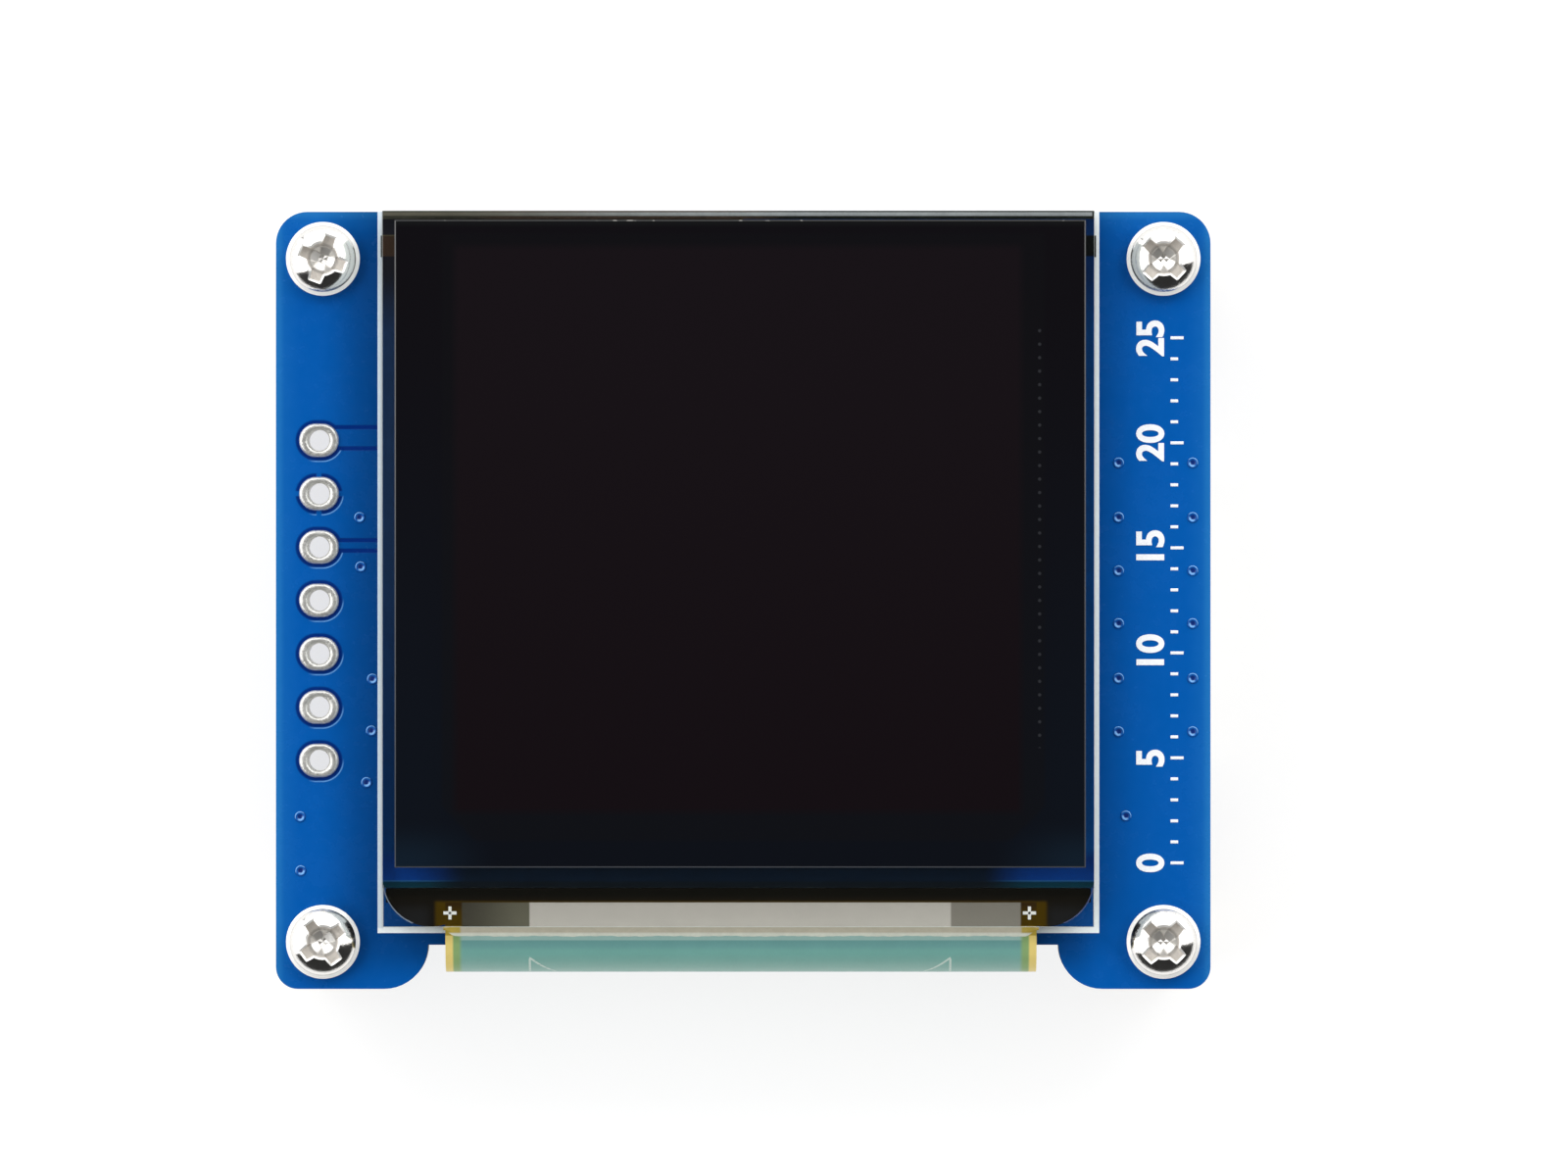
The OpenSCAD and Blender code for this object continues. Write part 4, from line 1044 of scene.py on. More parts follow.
class OLED_OT_screws(bpy.types.Operator):
    """Finish the screws and the standoffs, and cut the standoffs' threads"""

    bl_idname = "oled.screws"
    bl_label = "Screws and standoffs"

    def execute(self, context):
        own = context.scene.oled_metal
        dress(screw_finish(), "screws")
        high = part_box("screws")[1]
        x, y = high.x - HEAD_R * MM, high.y - HEAD_R * MM
        centres = [(-x, y, 0), (x, y, 0), (-x, -y, 0), (x, -y, 0)]
        # the recess chamfers and head bevels are real; their pale, mostly matt finish is a painted highlight
        burnished = plain_finish("Burnished_Nickel_Highlight", own.rim, 3.0, 0.15, 0.003, roughness=0.3, metallic=0.5)
        piece("recess_rims", recess_rims(RECESS_TURNS, centres, RIM_W), burnished, smooth=False)
        bevel = plain_finish("Turned_Bevel_Highlight", own.rim, 2.0, 0.2, 0.01, roughness=0.35, metallic=0.1)
        piece("head_rims", copies(head_rim(BEVEL_W), centres), bevel, crease=30)
        brass = plain_finish("Turned_Brass", own.brass, 2.5, 0.12, 0.003, roughness=0.3, metallic=1.0)
        standoffs = [f"standoff_{i}" for i in range(1, 5)]
        dress(brass, *standoffs)
        thread = thread_shape(*(value * MM for value in THREAD))
        piece("standoff_threads", copies(thread, [flat_middle(name) for name in standoffs]), brass)
        return {"FINISHED"}


# ---------- display ----------

# the unlit screen's left, right, low and high edge, and the same for its column of test marks, in mm
SCREEN_WINDOW = (-13.7, 13.2, -10.06, 16.8)
SPOT_WINDOW, SPOT_X, SPOT_PITCH = (13.5, 14.6, -7.0, 13.1), 14.07, 0.64
# the tape's ends lie between these two heights, and its cut edge shows just under the upper one, in mm
TAPE_Y = (16.3, 17.3)
# middle of the low band's dark part, and the height of the line that parts its two strips, in mm
BAND_X, BAND_Y = -0.9, -13.35
# radius of the sealant's corner lobes, and the distance of their middles from the glass's two edges, in mm
LOBE = 2.3
# the far edge's chamfer, in mm: distance from the edge, width and height
CHAMFER_INSET, CHAMFER_W, CHAMFER_T = 0.16, 0.18, 0.008


def polarizer_finish():
    """Near-black film: the unlit screen is a shade redder than the border, which turns bluer towards the bottom.
    A fine column of test marks runs down the right of the screen."""
    own = settings("oled_panel")
    made = Finish("Polarizer", roughness=0.08, specular_ior_level=0.5)
    x, y = made.x, made.y
    low, high = POLARIZER_LOW.y / MM, POLARIZER_HIGH.y / MM
    down = y.ramp(low, high)
    corners = abs(x).ramp(11.5, 16.0) * y.ramp(-12.4, -10.4, 1.0, 0.15)
    border = down.colour(corners.colour(own.border_bottom, own.border_low), own.border_top)
    # the array's two low corners are cut off at 45 degrees
    array = made.window(ARRAY_LOW.x / MM, ARRAY_HIGH.x / MM, ARRAY_LOW.y / MM, ARRAY_HIGH.y / MM, 0.2)
    array = array * (abs(x) - y).fade(23.9, 24.3)
    colour = (array * 0.55).colour(border, own.array)
    colour = made.window(*SCREEN_WINDOW, 0.4).colour(colour, down.colour(own.screen_bottom, own.screen_top))
    spot_x, spot_y = x - SPOT_X, y.repeated(SPOT_PITCH / 2)
    spots = (spot_x * spot_x + spot_y * spot_y).root().fade(0.05, 0.1) * made.window(*SPOT_WINDOW)
    colour = (spots * 0.17).colour(colour, own.spot)
    _, facing_y, facing_z = made.facing()
    # painted highlight: the cut edges are painted pale, palest at the sides near the top
    cut = y.ramp(-13.0, 17.0).colour(own.bevel_low, own.bevel)
    cut = facing_y.ramp(0.2, 0.3).colour(cut, own.bevel_far)
    # a few grains of dust lie along the far edge
    dust = made.noise(1.7, 2.0).ramp(0.66, 0.7) * y.ramp(high - 0.08, high - 0.03)
    cut = dust.colour(cut, own.dust)
    # painted light: the far edge's pale colour also fades in over the film's last 0.4 mm
    colour = y.ramp(high - 0.4, high - 0.06, 0.0, 0.55).colour(colour, own.bevel_far)
    made.set("Base Color", facing_z.fade(0.8, 0.95).colour(colour, cut))
    made.bump(made.noise(0.9, 2.0), 0.004, 0.4)
    return made.material


def glass_finish():
    """Clear float glass that lets lamps and soft light through to what lies under it."""
    own = settings("oled_panel")
    made = Finish("Display_Glass", roughness=0.0, ior=1.51, transmission_weight=1.0)
    made.set("Base Color", own.glass)
    made.bump(made.noise(0.4, 1.0), 0.002, 0.2)
    rays = made.graph.rays()
    passing = rays["Is Shadow Ray"].greater(rays["Is Diffuse Ray"])
    clear = made.graph.wire("ShaderNodeBsdfTransparent", {"Color": own.glass})
    mixed = made.graph.wire("ShaderNodeMixShader", {0: passing, 1: made.shader.outputs[0], 2: clear})
    made.graph.feed(made.output.inputs["Surface"], mixed)
    return made.material


def seal_finish():
    """Cured adhesive seen through the glass: brown along the top, blue at the sides, and near black in the low middle
    as painted shade.
    """
    own = settings("oled_panel")
    made = Finish("Panel_Seal", roughness=0.5, specular_ior_level=0.08)
    x, y = made.x, made.y
    right = x > 0.0
    # the low band's lower strip is darker, and a pale line parts the two near the ends; the band's middle is painted
    # darker than its ends as shade, where the film and the array keep light off it
    ends = abs(x - BAND_X).ramp(12.2, 14.9)
    strip = y.fade(BAND_Y - 0.07, BAND_Y + 0.07)
    lower = ends.colour(own.strip_middle, own.strip_corner)
    low_band = strip.colour(ends.colour(own.seal_middle, own.seal_corner), lower)
    parting = made.window(-18, 18, BAND_Y, BAND_Y + 0.05, 0.04) * (ends * 0.35)
    low_band = parting.colour(low_band, own.parting)
    side = y.ramp(-12.0, 6.0).greater(right).colour(own.seal_low, right.colour(own.seal_left, own.seal_right))
    side = y.ramp(12.0, 16.0).colour(side, right.colour(own.seal_top_left, own.seal_top_right))
    # the tape's ends show through beside the top corners
    tape = y.ramp(TAPE_Y[1], TAPE_Y[1] + 0.03).colour(
        right.colour(own.tape_left, own.tape_right), right.colour(own.tape_cut_left, own.tape_cut_right))
    side = (y.ramp(TAPE_Y[0], TAPE_Y[0] + 0.1) * y.fade(TAPE_Y[1], TAPE_Y[1] + 0.1)).colour(side, tape)
    colour = y.ramp(-12.4, -11.6).colour(low_band, side)
    # along the far edge the tape's brown shows faintly through the adhesive, left of the middle
    far = x.ramp(-13.5, 2.0).colour(own.far_left, own.far_right)
    far = (x.ramp(-13.5, -11.0) * x.fade(0.0, 2.5)).colour(far, own.far_tape)
    top = GLASS_HIGH.y / MM
    made.paint(y.ramp(top - 0.42, top - 0.34).colour(colour, far), made.grain(1.2, 0.5)[1])
    return made.material


def sealant_finish():
    """Dark sealant: near black along the glass, browner and paler in the thin corner lobes."""
    own = settings("oled_panel")
    made = Finish("Ledge_Sealant", roughness=0.2, specular_ior_level=0.12)
    x, y = made.x, made.y
    colour = y.ramp(-14.15, -13.95).colour(own.sealant_low, own.sealant)
    # the lobes lie at the two ends, beside the film
    lobes = abs(x - GLASS_MIDDLE).ramp(GLASS_HALF - 2.6, GLASS_HALF - 1.8) * y.fade(-15.0, -14.2)
    colour = lobes.colour(colour, own.lobe)
    # beside the film it lies thin over amber
    near = abs(x - FILM_MIDDLE).fade(FILM_HALF + 0.35, FILM_HALF + 0.6) * y.fade(-14.4, -14.2)
    height, tone = made.grain(0.9, 0.35)
    made.paint(near.colour(colour, settings("oled_film").bond_amber), tone)
    made.bump(height, 0.008, 0.6)
    return made.material


def two_ended_finish(name, roughness, ends, first, second, grain, bump):
    """A finish that goes from the first colour at the left to the second at the right, between the two ends."""
    made = Finish(name, roughness=roughness)
    height, tone = made.grain(*grain)
    made.paint(made.x.ramp(*ends).colour(first, second), tone)
    made.bump(height, bump)
    return made.material


def lobe_rims(radius):
    """A thin round bead carried along the free arc of each sealant lobe, at the sealant's upper face. The arc is the
    part of the lobe's circle that runs below and outside the circle's middle."""
    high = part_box("ledge_sealant")[1]
    turn = np.linspace(math.radians(-172), math.radians(-112), 40)
    left = np.stack([GLASS_LOW.x + LOBE * MM * (1 + np.cos(turn)), GLASS_LOW.y + LOBE * MM * (1 + np.sin(turn))], -1)
    right = np.stack([2 * GLASS_MIDDLE * MM - left[::-1, 0], left[::-1, 1]], -1)
    around = np.linspace(0, 2 * np.pi, 8, endpoint=False)[::-1]
    profile = np.stack([radius * np.cos(around), radius * np.sin(around) + high.z], -1)
    return joined([carried(left, profile), carried(right, profile)])


def glass_edges(thickness):
    """The ground edges of the two glasses: a thin skin carried round each glass's outline, over its whole height."""
    shapes = []
    for node in ("front_glass", "back_glass"):
        low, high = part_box(node)
        outline = rectangle(low.x, low.y, high.x, high.y)
        profile = [(-thickness, low.z), (-thickness, high.z), (thickness, high.z), (thickness, low.z)]
        shapes.append(carried(outline, profile, closed=True))
    return joined(shapes)


class OLED_OT_display(bpy.types.Operator):
    """Finish the layers of the display panel"""

    bl_idname = "oled.display"
    bl_label = "Display"

    def execute(self, context):
        dress(polarizer_finish(), "polarizer")
        dress(glass_finish(), "front_glass", "back_glass")
        dress(seal_finish(), "glass_seal")
        dress(sealant_finish(), "ledge_sealant")
        own = context.scene.oled_panel
        ground = plain_finish("Ground_Glass", own.glass_cut, 4.0, 0.12, 0.006, roughness=0.5)
        piece("glass_edges", glass_edges(0.004 * MM), ground, smooth=False)
        # the far edge's chamfer goes from brown-grey at its left end to pale at its right end
        y = GLASS_HIGH.y - CHAMFER_INSET * MM
        path = [(GLASS_HIGH.x - 0.1 * MM, y), (GLASS_LOW.x + 0.05 * MM, y)]
        chipped = ink_line(path, CHAMFER_W * MM, CHAMFER_T * MM, GLASS_HIGH.z)
        chips = two_ended_finish("Far_Chamfer", 0.45, (-15.0, 1.0), own.edge_left, own.edge_right, (1.4, 0.9), 0.01)
        piece("far_chamfer", chipped, chips)
        # painted highlight: the lobes' rounded rims are painted pale blue-grey
        rim = two_ended_finish("Lobe_Rim_Highlight", 0.25, (-1.0, 1.0), own.lobe_rim, own.lobe_faint, (3.0, 0.4), 0.006)
        piece("lobe_rims", lobe_rims(0.03 * MM), rim)
        dress(plain_finish("Screen_Array", screen(20, 17, 21), 4.0, 0.2, 0.002, roughness=0.25), "pixel_array")
        dress(plain_finish("Desiccant", screen(214, 211, 200), 2.0, 0.15, 0.02, roughness=0.8), "desiccant_sheet")
        dress(plain_finish("Mounting_Tape", screen(24, 21, 17), 3.0, 0.4, 0.02, roughness=0.55), "display_tape")
        return {"FINISHED"}


# ---------- film ----------

# the bonded bars change colour at these places along X, in mm: pale from the second, silver from the third
BARS = (-13.4, -10.2, 9.82)
# and their ends, beyond which the polyimide is bare
BAR_ENDS = (-13.42, 13.12)
TRACK_PITCH = 0.25
# the two alignment crosses, in mm: places, arm and line width
CROSS_X, CROSS_Y, CROSS_ARM, CROSS_LINE = (-13.93, 13.6), -14.85, 0.31, 0.15
# the open triangles at the fold, in mm: places along X, near and far distance from the glass's edge, width, line width
MARK_X, MARK_NEAR, MARK_FAR, MARK_W, MARK_LINE = (-10.15, 9.85), 1.55, 2.75, 1.25, 0.1
# the edge bead's rise and reach, and how far it runs past the film, in mm
BEAD_RISE, BEAD_REACH, BEAD_PAST = 0.5, 0.46, 0.1
# the resin round the chip, in mm: how far it spreads, its rim and its rise
RESIN_SPREAD, RESIN_RIM, RESIN_RISE = 0.55, 0.01, 0.27


def film_finish():
    """Lacquered film with bare amber edges. Under the glass it shows its bonded contacts as three pale bars, and
    below the board its copper tracks run as fine lines."""
    own = settings("oled_film")
    made = Finish("Display_Film", specular_ior_level=0.28)
    x, y = made.x, made.y - NEAR_EDGE
    aside = abs(x - FILM_MIDDLE)
    # painted light and shade: the lacquer is painted lighter towards the fold and darker beside the glass
    lacquer = y.ramp(-2.15, -1.2).colour(own.base_far, own.base)
    lacquer = y.ramp(-1.2, -0.9).colour(lacquer, own.base_near)
    lacquer = y.ramp(-0.68, -0.62).colour(lacquer, own.line)
    bare = aside.ramp(FILM_HALF - 0.42, FILM_HALF - 0.3).colour(own.olive, own.amber)
    free = aside.ramp(FILM_HALF - 0.85, FILM_HALF - 0.6).colour(lacquer, bare)
    # bonded length, seen through the ledge
    bars = x.ramp(BARS[0], BARS[1]).colour(own.grey_left, own.grey_inner)
    bars = x.ramp(BARS[1], BARS[1] + 0.1).colour(bars, own.silver)
    bars = x.ramp(BARS[2], BARS[2] + 0.1).colour(bars, own.grey_right)
    bars = made.shade(bars, y.ramp(0.1, 1.3, 0.97, 0.85))
    amber = y.ramp(0.45, 1.1).colour(own.bond_amber, own.bond_dark)
    amber = y.ramp(-0.02, 0.06).colour(own.glue_amber, amber)
    ends = x.fade(BAR_ENDS[0], BAR_ENDS[0] + 0.12).greater(x.ramp(BAR_ENDS[1], BAR_ENDS[1] + 0.12))
    top = y.ramp(-0.45, -0.4).colour(free, ends.colour(bars, amber))
    # tracks under the lacquer, along Y
    tracks = abs(x.repeated(TRACK_PITCH / 2)).ramp(0.04, 0.075)
    under = (tracks * 0.35).colour(free, own.track)
    height, tone = made.grain(1.1, 0.18)
    made.paint((made.z < BOARD_LOW.z / MM).colour(top, under), tone)
    made.set("Roughness", y.ramp(-0.02, 0.06).number(height.ramp(0.35, 0.65, 0.28, 0.42), 0.15))
    made.bump(made.noise(0.35, 2.0) + height * 0.25, 0.06)
    return made.material


def fold_points(x, along):
    """The film's outer face at that x and distance along it from the glass's edge: level out to the fold's
    centre line, then round the fold at its outer radius."""
    radius = (FILM_HIGH.z - FILM_LOW.z) / 2
    centre_y, centre_z = FILM_LOW.y + radius, (FILM_HIGH.z + FILM_LOW.z) / 2
    level = GLASS_LOW.y - centre_y
    turn = np.clip((along - level) / radius, 0, math.pi)
    y = np.where(along < level, GLASS_LOW.y - along, centre_y - radius * np.sin(turn))
    z = centre_z + radius * np.cos(turn)
    return np.stack([x + 0 * y, y, z], axis=-1)


def fold_strip(path, width, lift):
    """A printed line on the film: the path's (x, along) points widened on both sides, then laid on the fold and
    lifted off it by a few micrometres of ink, with a lower copy of itself to close it."""
    path = np.asarray(path, float)
    fine = np.linspace(0, len(path) - 1, 12 * (len(path) - 1) + 1)
    x = np.interp(fine, np.arange(len(path)), path[:, 0])
    along = np.interp(fine, np.arange(len(path)), path[:, 1])
    direction = np.stack([np.gradient(x), np.gradient(along)], -1)
    direction /= np.linalg.norm(direction, axis=1, keepdims=True)
    side = np.stack([-direction[:, 1], direction[:, 0]], -1) * width / 2
    left = fold_points(x + side[:, 0], along + side[:, 1])
    right = fold_points(x - side[:, 0], along - side[:, 1])
    axis = np.array([0, FILM_LOW.y + (FILM_HIGH.z - FILM_LOW.z) / 2, (FILM_HIGH.z + FILM_LOW.z) / 2])
    out = (left + right) / 2 - axis
    out[:, 0] = 0
    out /= np.linalg.norm(out, axis=1, keepdims=True)
    points = np.stack([left - out * lift, left + out * lift, right + out * lift, right - out * lift], 1).reshape(-1, 3)
    return points, [faces[:, ::-1] for faces in capped_faces(len(fine), 4)]


def bead_shape(left, right, y, top, rise, reach):
    """The clear bead along the glass's edge: a concave fillet from the glass face down to the film, whose reach and
    rise swing by a few slow sines of x. Every x has the same closed profile."""
    x = np.linspace(left, right, 260)
    swing = 1 + 0.03 * np.sin(x / MM * 2.1) + 0.02 * np.sin(x / MM * 5.3 + 1) + 0.02 * np.sin(x / MM * 11.7 + 2)
    end = smooth_step((x - left) / (0.6 * MM)) * smooth_step((right - x) / (0.6 * MM))
    swing *= 0.35 + 0.65 * end
    t = np.linspace(0, 1, 9)
    across = np.concatenate([t, [1.0, 0.0]])
    up = np.concatenate([(1 - t) ** 1.9, [-0.05, -0.05]])
    points = np.stack(
        [x[:, None] + 0 * across, y - across * reach * swing[:, None], top + up * rise * swing[:, None]], -1
    ).reshape(-1, 3)
    return points, capped_faces(len(x), len(across))


def bead_finish():
    """Clear glue: greyer where it climbs the glass, pale below, golden over the film's bare edges."""
    own = settings("oled_film")
    made = Finish("Edge_Bead", roughness=0.25)
    y = made.y - NEAR_EDGE
    gold = abs(made.x - FILM_MIDDLE).ramp(FILM_HALF - 0.8, FILM_HALF - 0.65) * y.ramp(-0.35, -0.25)
    height, tone = made.grain(2.5, 0.4)
    made.paint(gold.colour(y.ramp(-0.34, -0.24).colour(own.glue, own.glue_high), own.glue_amber), tone)
    made.bump(height, 0.02)
    return made.material


class OLED_OT_film(bpy.types.Operator):
    """Finish the folded film, its chip and its stiffener, and add its crosses, marks, edge bead and resin"""

    bl_idname = "oled.film"
    bl_label = "Film"

    def execute(self, context):
        own = context.scene.oled_film
        dress(film_finish(), "display_film")
        dress(plain_finish("Driver_Silicon", screen(58, 60, 66), 0.7, 0.3, 0.002, roughness=0.12), "driver_chip")
        dress(plain_finish("Stiffener", screen(205, 150, 62), 1.5, 0.2, 0.008, roughness=0.35), "tail_stiffener")
        mark = plain_finish("Bright_Mark", own.mark, 4.0, 0.05, 0.001, roughness=0.4)
        y, arm = CROSS_Y * MM, CROSS_ARM * MM
        crosses = []
        for x in (CROSS_X[0] * MM, CROSS_X[1] * MM):
            for path in ([(x - arm, y), (x + arm, y)], [(x, y - arm), (x, y + arm)]):
                crosses.append(ink_line(path, CROSS_LINE * MM, 0.008 * MM, FILM_HIGH.z))
        piece("film_crosses", joined(crosses), mark)
        past = BEAD_PAST * MM
        bead = bead_shape(FILM_LOW.x - past, FILM_HIGH.x + past, GLASS_LOW.y, FILM_HIGH.z, BEAD_RISE * MM,
                          BEAD_REACH * MM)
        piece("edge_bead", bead, bead_finish())
        pale = plain_finish("Film_Print", screen(196, 214, 204), 4.0, 0.1, 0.001, roughness=0.4)
        marks = []
        for x, way in zip(MARK_X, (1, -1)):
            path = np.array([(x, MARK_FAR), (x, MARK_NEAR), (x + way * MARK_W, MARK_FAR)]) * MM
            marks.append(fold_strip(path, MARK_LINE * MM, 0.004 * MM))
        piece("film_triangles", joined(marks), pale)
        resin = plain_finish("Chip_Resin", screen(32, 28, 26), 1.5, 0.3, 0.01, roughness=0.25)
        chip = plan([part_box("driver_chip")])
        shape = mounds(grown(chip, RESIN_SPREAD * MM, RESIN_SPREAD * MM), chip, RESIN_RIM * MM, RESIN_RISE * MM, 41)
        piece("driver_resin", mirrored_down(shape, FILM_LOW.z / 2), resin)
        return {"FINISHED"}


# ---------- connectors and small parts on the back ----------

CHIPS = ("diode", "booster", "regulator", "level_shifter")
INKED = ("inductor_core", "diode_body", "booster_body", "regulator_body", "level_shifter_body")


def moulded(name, colour, roughness=0.42):
    """Moulded plastic."""
    return plain_finish(name, colour, 2.4, 0.12, 0.012, roughness=roughness, specular_ior_level=0.5)


def plated(name, colour, roughness=0.25):
    """Thin plated metal."""
    return plain_finish(name, colour, 4.0, 0.15, 0.006, roughness=roughness, metallic=1.0)


class OLED_OT_parts(bpy.types.Operator):
    """Finish the connectors and the small parts on the board's back"""

    bl_idname = "oled.parts"
    bl_label = "Back parts"

    def execute(self, context):
        own = context.scene.oled_metal
        dress(moulded("Ivory_Nylon", screen(236, 232, 216)), "film_connector_housing")
        dress(moulded("Natural_Nylon", screen(240, 237, 224), 0.38), "wire_connector_housing")
        dress(moulded("Dark_Latch", screen(58, 52, 48), 0.35), "film_connector_latch")
        dress(moulded("Chip_Epoxy", screen(38, 39, 42), 0.55), *[f"{chip}_body" for chip in CHIPS])
        dress(plated("Contact_Gold", own.gold, 0.2), "film_connector_contacts")
        dress(plated("Tinned_Leads", own.solder), "film_connector_tabs", "wire_connector_pins", "wire_connector_tabs",
              "inductor_terminals", "capacitor_ends", "resistor_ends", *[f"{chip}_leads" for chip in CHIPS])
        dress(plain_finish("Ferrite", screen(66, 68, 72), 3.0, 0.35, 0.02, roughness=0.6), "inductor_core")
        dress(plain_finish("Ceramic", screen(176, 138, 98), 2.0, 0.25, 0.01, roughness=0.45), "capacitor_bodies")
        dress(plain_finish("Resistor_Glaze", screen(30, 32, 36), 2.0, 0.2, 0.004, roughness=0.2), "resistor_bodies")
        return {"FINISHED"}


# joints on the back: nodes, how far the solder reaches past each lead across and along, the height of its rim, its
# rise at the lead, all in mm, and the steps of its mound
JOINTS = {
    "cap_joints": (("capacitor_ends", "resistor_ends"), 0.22, 0.12, 0.03, 0.34, 13),
    "lead_joints": (tuple(f"{chip}_leads" for chip in CHIPS), 0.1, 0.12, 0.03, 0.09, 9),
    "tab_joints": (("film_connector_tabs", "wire_connector_tabs", "inductor_terminals"), 0.25, 0.25, 0.03, 0.13, 13),
    "contact_joints": (("film_connector_contacts",), 0.05, 0.12, 0.025, 0.08, 9),
    "pin_joints": (("wire_connector_pins",), 0.25, 0.2, 0.03, 0.2, 13),
}
# a contact and a pin are soldered only over the foot at one end, of this length in mm
CONTACT_FOOT, PIN_FOOT = 0.72, 1.0
# on the back, in mm: from a part to its printed outline, and from the plated holes to their numbers
PART_SPACE, NUMBER_SPACE = 0.25, 1.9


class OLED_OT_solder(bpy.types.Operator):
    """Solder every lead, end cap, tab and pin to the board's back"""

    bl_idname = "oled.solder"
    bl_label = "Solder joints"

    def execute(self, context):
        for name, (nodes, across, along, rim, rise, steps) in JOINTS.items():
            blocks = np.concatenate([plan(solid_boxes(node)) for node in nodes])
            if name == "contact_joints":
                blocks[:, 1] = blocks[:, 3] - CONTACT_FOOT * MM
            elif name == "pin_joints":
                blocks[:, 2] = blocks[:, 0] + PIN_FOOT * MM
            shape = mounds(grown(blocks, across * MM, along * MM), blocks, rim * MM, rise * MM, steps)
            piece(name, mirrored_down(shape, BOARD_LOW.z / 2), bpy.data.materials["Solder_Tin"])
        return {"FINISHED"}


class OLED_OT_back_print(bpy.types.Operator):
    """Print each chip's outline and the pins' numbers on the board's back"""

    bl_idname = "oled.back_print"
    bl_label = "Back print"

    def execute(self, context):
        own, board = context.scene.oled_ink, context.scene.oled_board
        ink = bpy.data.materials["White_Ink"]
        space = PART_SPACE * MM
        loops = []
        for box in grown(plan([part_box(node) for node in INKED]), space, space):
            loops.append(ink_line(rectangle(*box), own.fine_line, own.thickness, 0, closed=True))
        piece("part_outlines", mirrored_down(joined(loops), BOARD_LOW.z / 2), ink)
        level = BOARD_LOW.z - own.thickness / 2
        shapes = []
        for i in range(board.header_n):
            middle = (board.header_x + NUMBER_SPACE * MM, ((board.header_n - 1) / 2 - i) * board.header_pitch)
            shapes.append(number_shape(str(i + 1), own.small_digit, middle, 0, level, own.thickness, own.small_bold,
                                       mirror=-1))
        piece("pin_numbers", joined(shapes), ink, smooth=False)
        return {"FINISHED"}


# ---------- studio ----------

# each lamp's place and size in metres, its power in watts, and whether metal and glass mirror it
LAMPS = {
    "softbox_far": ((0.0, 0.46, 0.24), (1.0, 0.5), 2.7, True),
    "softbox_left": ((-0.46, 0.08, 0.24), (0.76, 0.5), 2.8, True),
    "softbox_right": ((0.44, 0.22, 0.24), (0.66, 0.5), 2.0, True),
    "softbox_near": ((0.0, -0.5, 0.34), (0.9, 0.4), 1.2, False),
}


def softbox(name, place, target, size, power):
    """A soft rectangular lamp at a place, aimed at the target."""
    lamp = bpy.data.lights.new(name, "AREA")
    lamp.shape = "RECTANGLE"
    lamp.size, lamp.size_y = size
    lamp.energy = power
    made = bpy.data.objects.new(name, lamp)
    made.location = place
    made.rotation_euler = (Vector(target) - Vector(place)).to_track_quat("-Z", "Y").to_euler()
    bpy.context.scene.collection.objects.link(made)
    return made


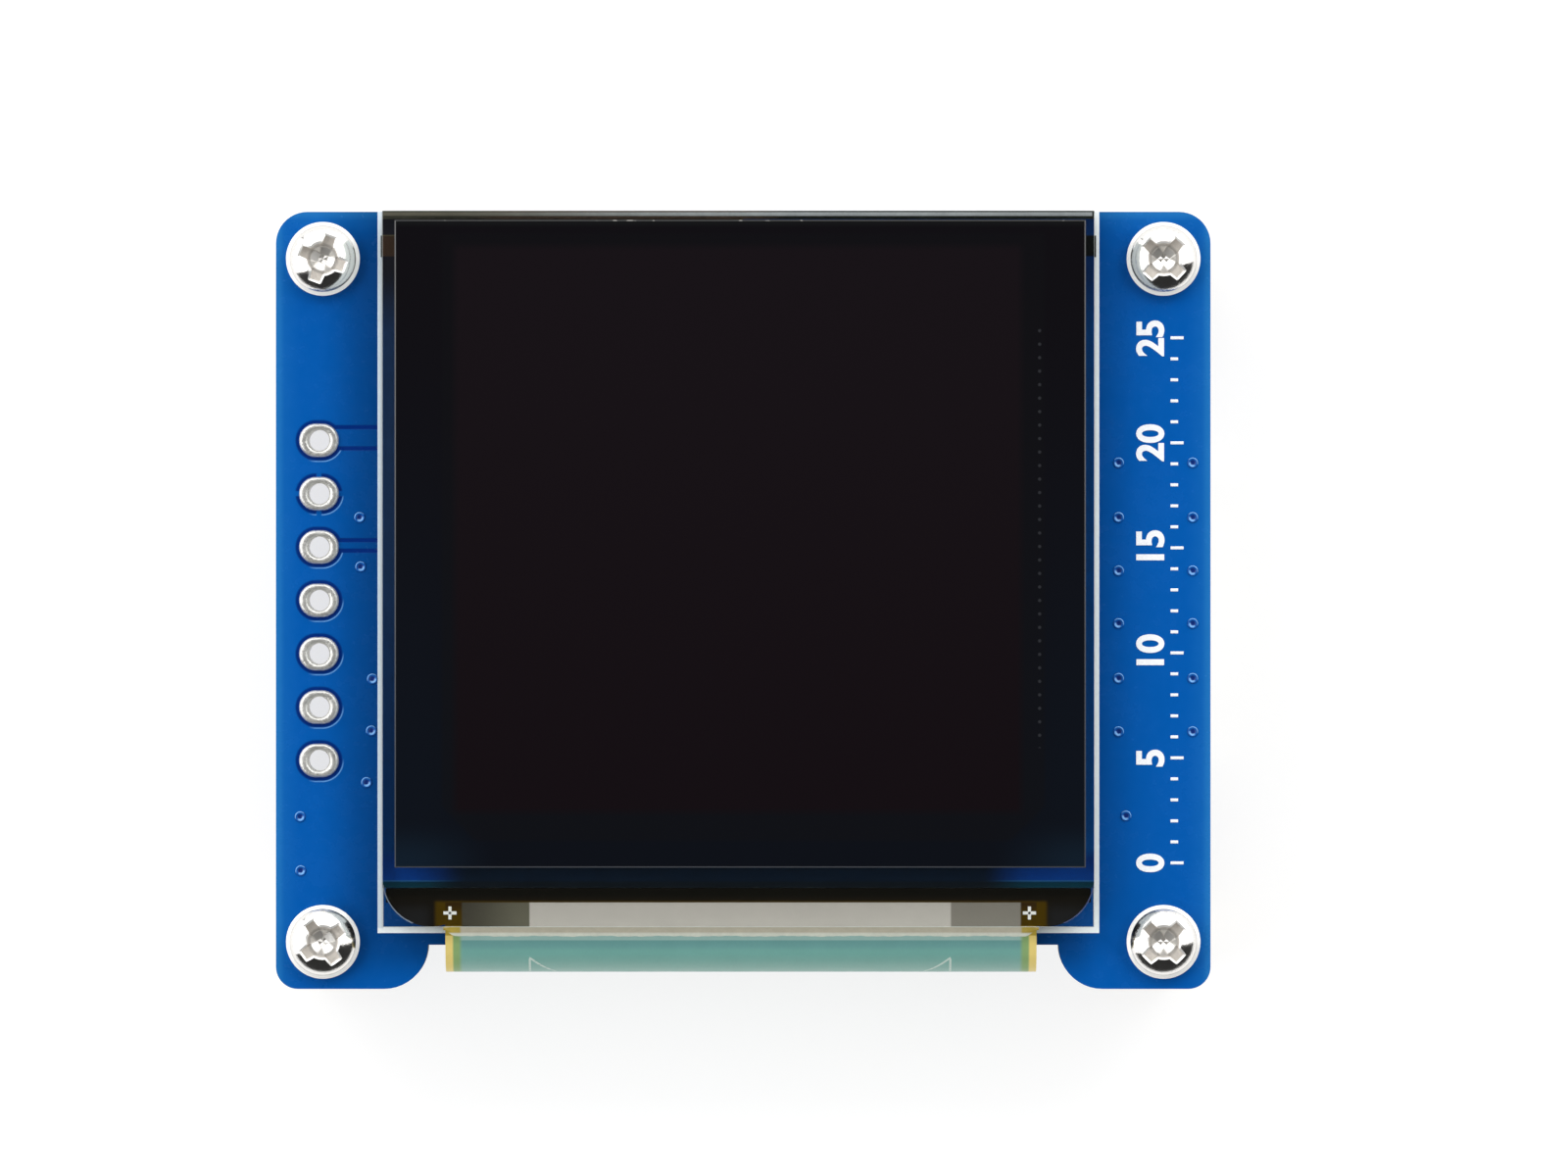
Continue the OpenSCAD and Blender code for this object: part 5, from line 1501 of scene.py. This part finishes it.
class OLED_OT_studio(bpy.types.Operator):
    """Add the pale floor, the soft lamps and the camera over the board"""

    bl_idname = "oled.studio"
    bl_label = "Studio"

    def execute(self, context):
        own = context.scene.oled_studio
        scene = context.scene
        scene.view_settings.view_transform = "Standard"
        self.floor(own)
        self.world(scene)
        middle = (0, 0, BOARD_HIGH.z)
        for name, (place, size, power, glossy) in LAMPS.items():
            softbox(name, place, middle, size, power).visible_glossy = glossy
        camera = bpy.data.objects.new("camera", bpy.data.cameras.new("camera"))
        camera.location = (own.camera_x, own.camera_y, BOARD_HIGH.z + own.camera_far)
        camera.data.sensor_width = 36
        camera.data.lens = camera.data.sensor_width * own.camera_far / own.view_width
        camera.data.clip_start, camera.data.clip_end = 0.01, 10
        scene.collection.objects.link(camera)
        scene.camera = camera
        return {"FINISHED"}

    def floor(self, own):
        """A matt square just under the feet. Where it is looked at it adds light of its own, and less under the board
        as a painted shadow, so that it shows white with a soft shadow. From below it is clear."""
        half = own.floor_size / 2
        mesh = bpy.data.meshes.new("floor")
        mesh.from_pydata([(x, y, -0.02 * MM) for x, y in rectangle(-half, -half, half, half)], [], [[0, 1, 2, 3]])
        material = bpy.data.materials.new("Pale_Floor")
        material.use_nodes = True
        material.node_tree.nodes.clear()
        graph = Graph(material.node_tree)
        rays = graph.rays()
        seen = rays["Is Camera Ray"].greater(rays["Is Glossy Ray"].greater(rays["Is Transmission Ray"]))
        coordinates = graph.wires(graph.node("ShaderNodeTexCoord"))
        place = graph.group("Millimetres", {"Object": coordinates["Object"]})
        edge = {"Left": BOARD_LOW.x / MM + 0.7, "Right": BOARD_HIGH.x / MM - 0.7, "Low": BOARD_LOW.y / MM + 2.6,
                "High": BOARD_HIGH.y / MM - 0.7, "Soft": 1.2}
        # painted shadow: the floor's own light is weaker under the board
        under = graph.group("Window", {"X": place["X"], "Y": place["Y"], **edge})["Mask"]
        white = seen * (under.number(1.0, own.floor_under) * own.floor_white)
        paint = seen.colour((0.8, 0.8, 0.8, 1), (0.36, 0.36, 0.36, 1))
        matt = graph.wire("ShaderNodeBsdfDiffuse", {"Color": paint})
        glow = graph.wire("ShaderNodeEmission", {"Color": (1, 1, 1, 1), "Strength": white})
        front = graph.wire("ShaderNodeAddShader", {0: matt, 1: glow})
        back = graph.wires(graph.node("ShaderNodeNewGeometry"))["Backfacing"]
        clear = graph.wire("ShaderNodeBsdfTransparent")
        surface = graph.wire("ShaderNodeMixShader", {0: back, 1: front, 2: clear})
        graph.node("ShaderNodeOutputMaterial", {"Surface": surface})
        material.cycles.emission_sampling = "NONE"
        mesh.materials.append(material)
        floor = bpy.data.objects.new("floor", mesh)
        bpy.context.scene.collection.objects.link(floor)

    def world(self, scene):
        """White where the camera looks past the floor, dim in reflections, and a soft fill for matt surfaces."""
        world = bpy.data.worlds.new("studio")
        world.use_nodes = True
        world.node_tree.nodes.clear()
        graph = Graph(world.node_tree)
        rays = graph.rays()
        strength = rays["Is Camera Ray"].number(rays["Is Glossy Ray"].number(0.22, 0.03), 1.0)
        sky = graph.wire("ShaderNodeBackground", {"Color": (1, 1, 1, 1), "Strength": strength})
        graph.node("ShaderNodeOutputWorld", {"Surface": sky})
        scene.world = world


class OLED_PT_module(bpy.types.Panel):
    """The pieces of the display module and the values that shape them"""

    bl_label = "OLED Module"
    bl_idname = "OLED_PT_module"
    bl_space_type = "VIEW_3D"
    bl_region_type = "UI"
    bl_category = "OLED Module"

    def draw(self, context):
        for operator in OPERATORS:
            self.layout.operator(operator.bl_idname)
        for name, group in GROUPS.items():
            box = self.layout.box()
            box.label(text=group.__name__)
            for key in group.__annotations__:
                box.prop(getattr(context.scene, name), key)


OPERATORS = (
    OLED_OT_board,
    OLED_OT_print,
    OLED_OT_screws,
    OLED_OT_display,
    OLED_OT_film,
    OLED_OT_parts,
    OLED_OT_solder,
    OLED_OT_back_print,
    OLED_OT_studio,
)


def register():
    for group in (*GROUPS.values(), *OPERATORS, OLED_PT_module):
        bpy.utils.register_class(group)
    for name, group in GROUPS.items():
        setattr(bpy.types.Scene, name, PointerProperty(type=group))


def unregister():
    for name in GROUPS:
        delattr(bpy.types.Scene, name)
    for group in (OLED_PT_module, *reversed(OPERATORS), *reversed(GROUPS.values())):
        bpy.utils.unregister_class(group)


def main():
    register()
    for operator in OPERATORS:
        kind, name = operator.bl_idname.split(".")
        getattr(getattr(bpy.ops, kind), name)()


if __name__ == "__main__":
    main()
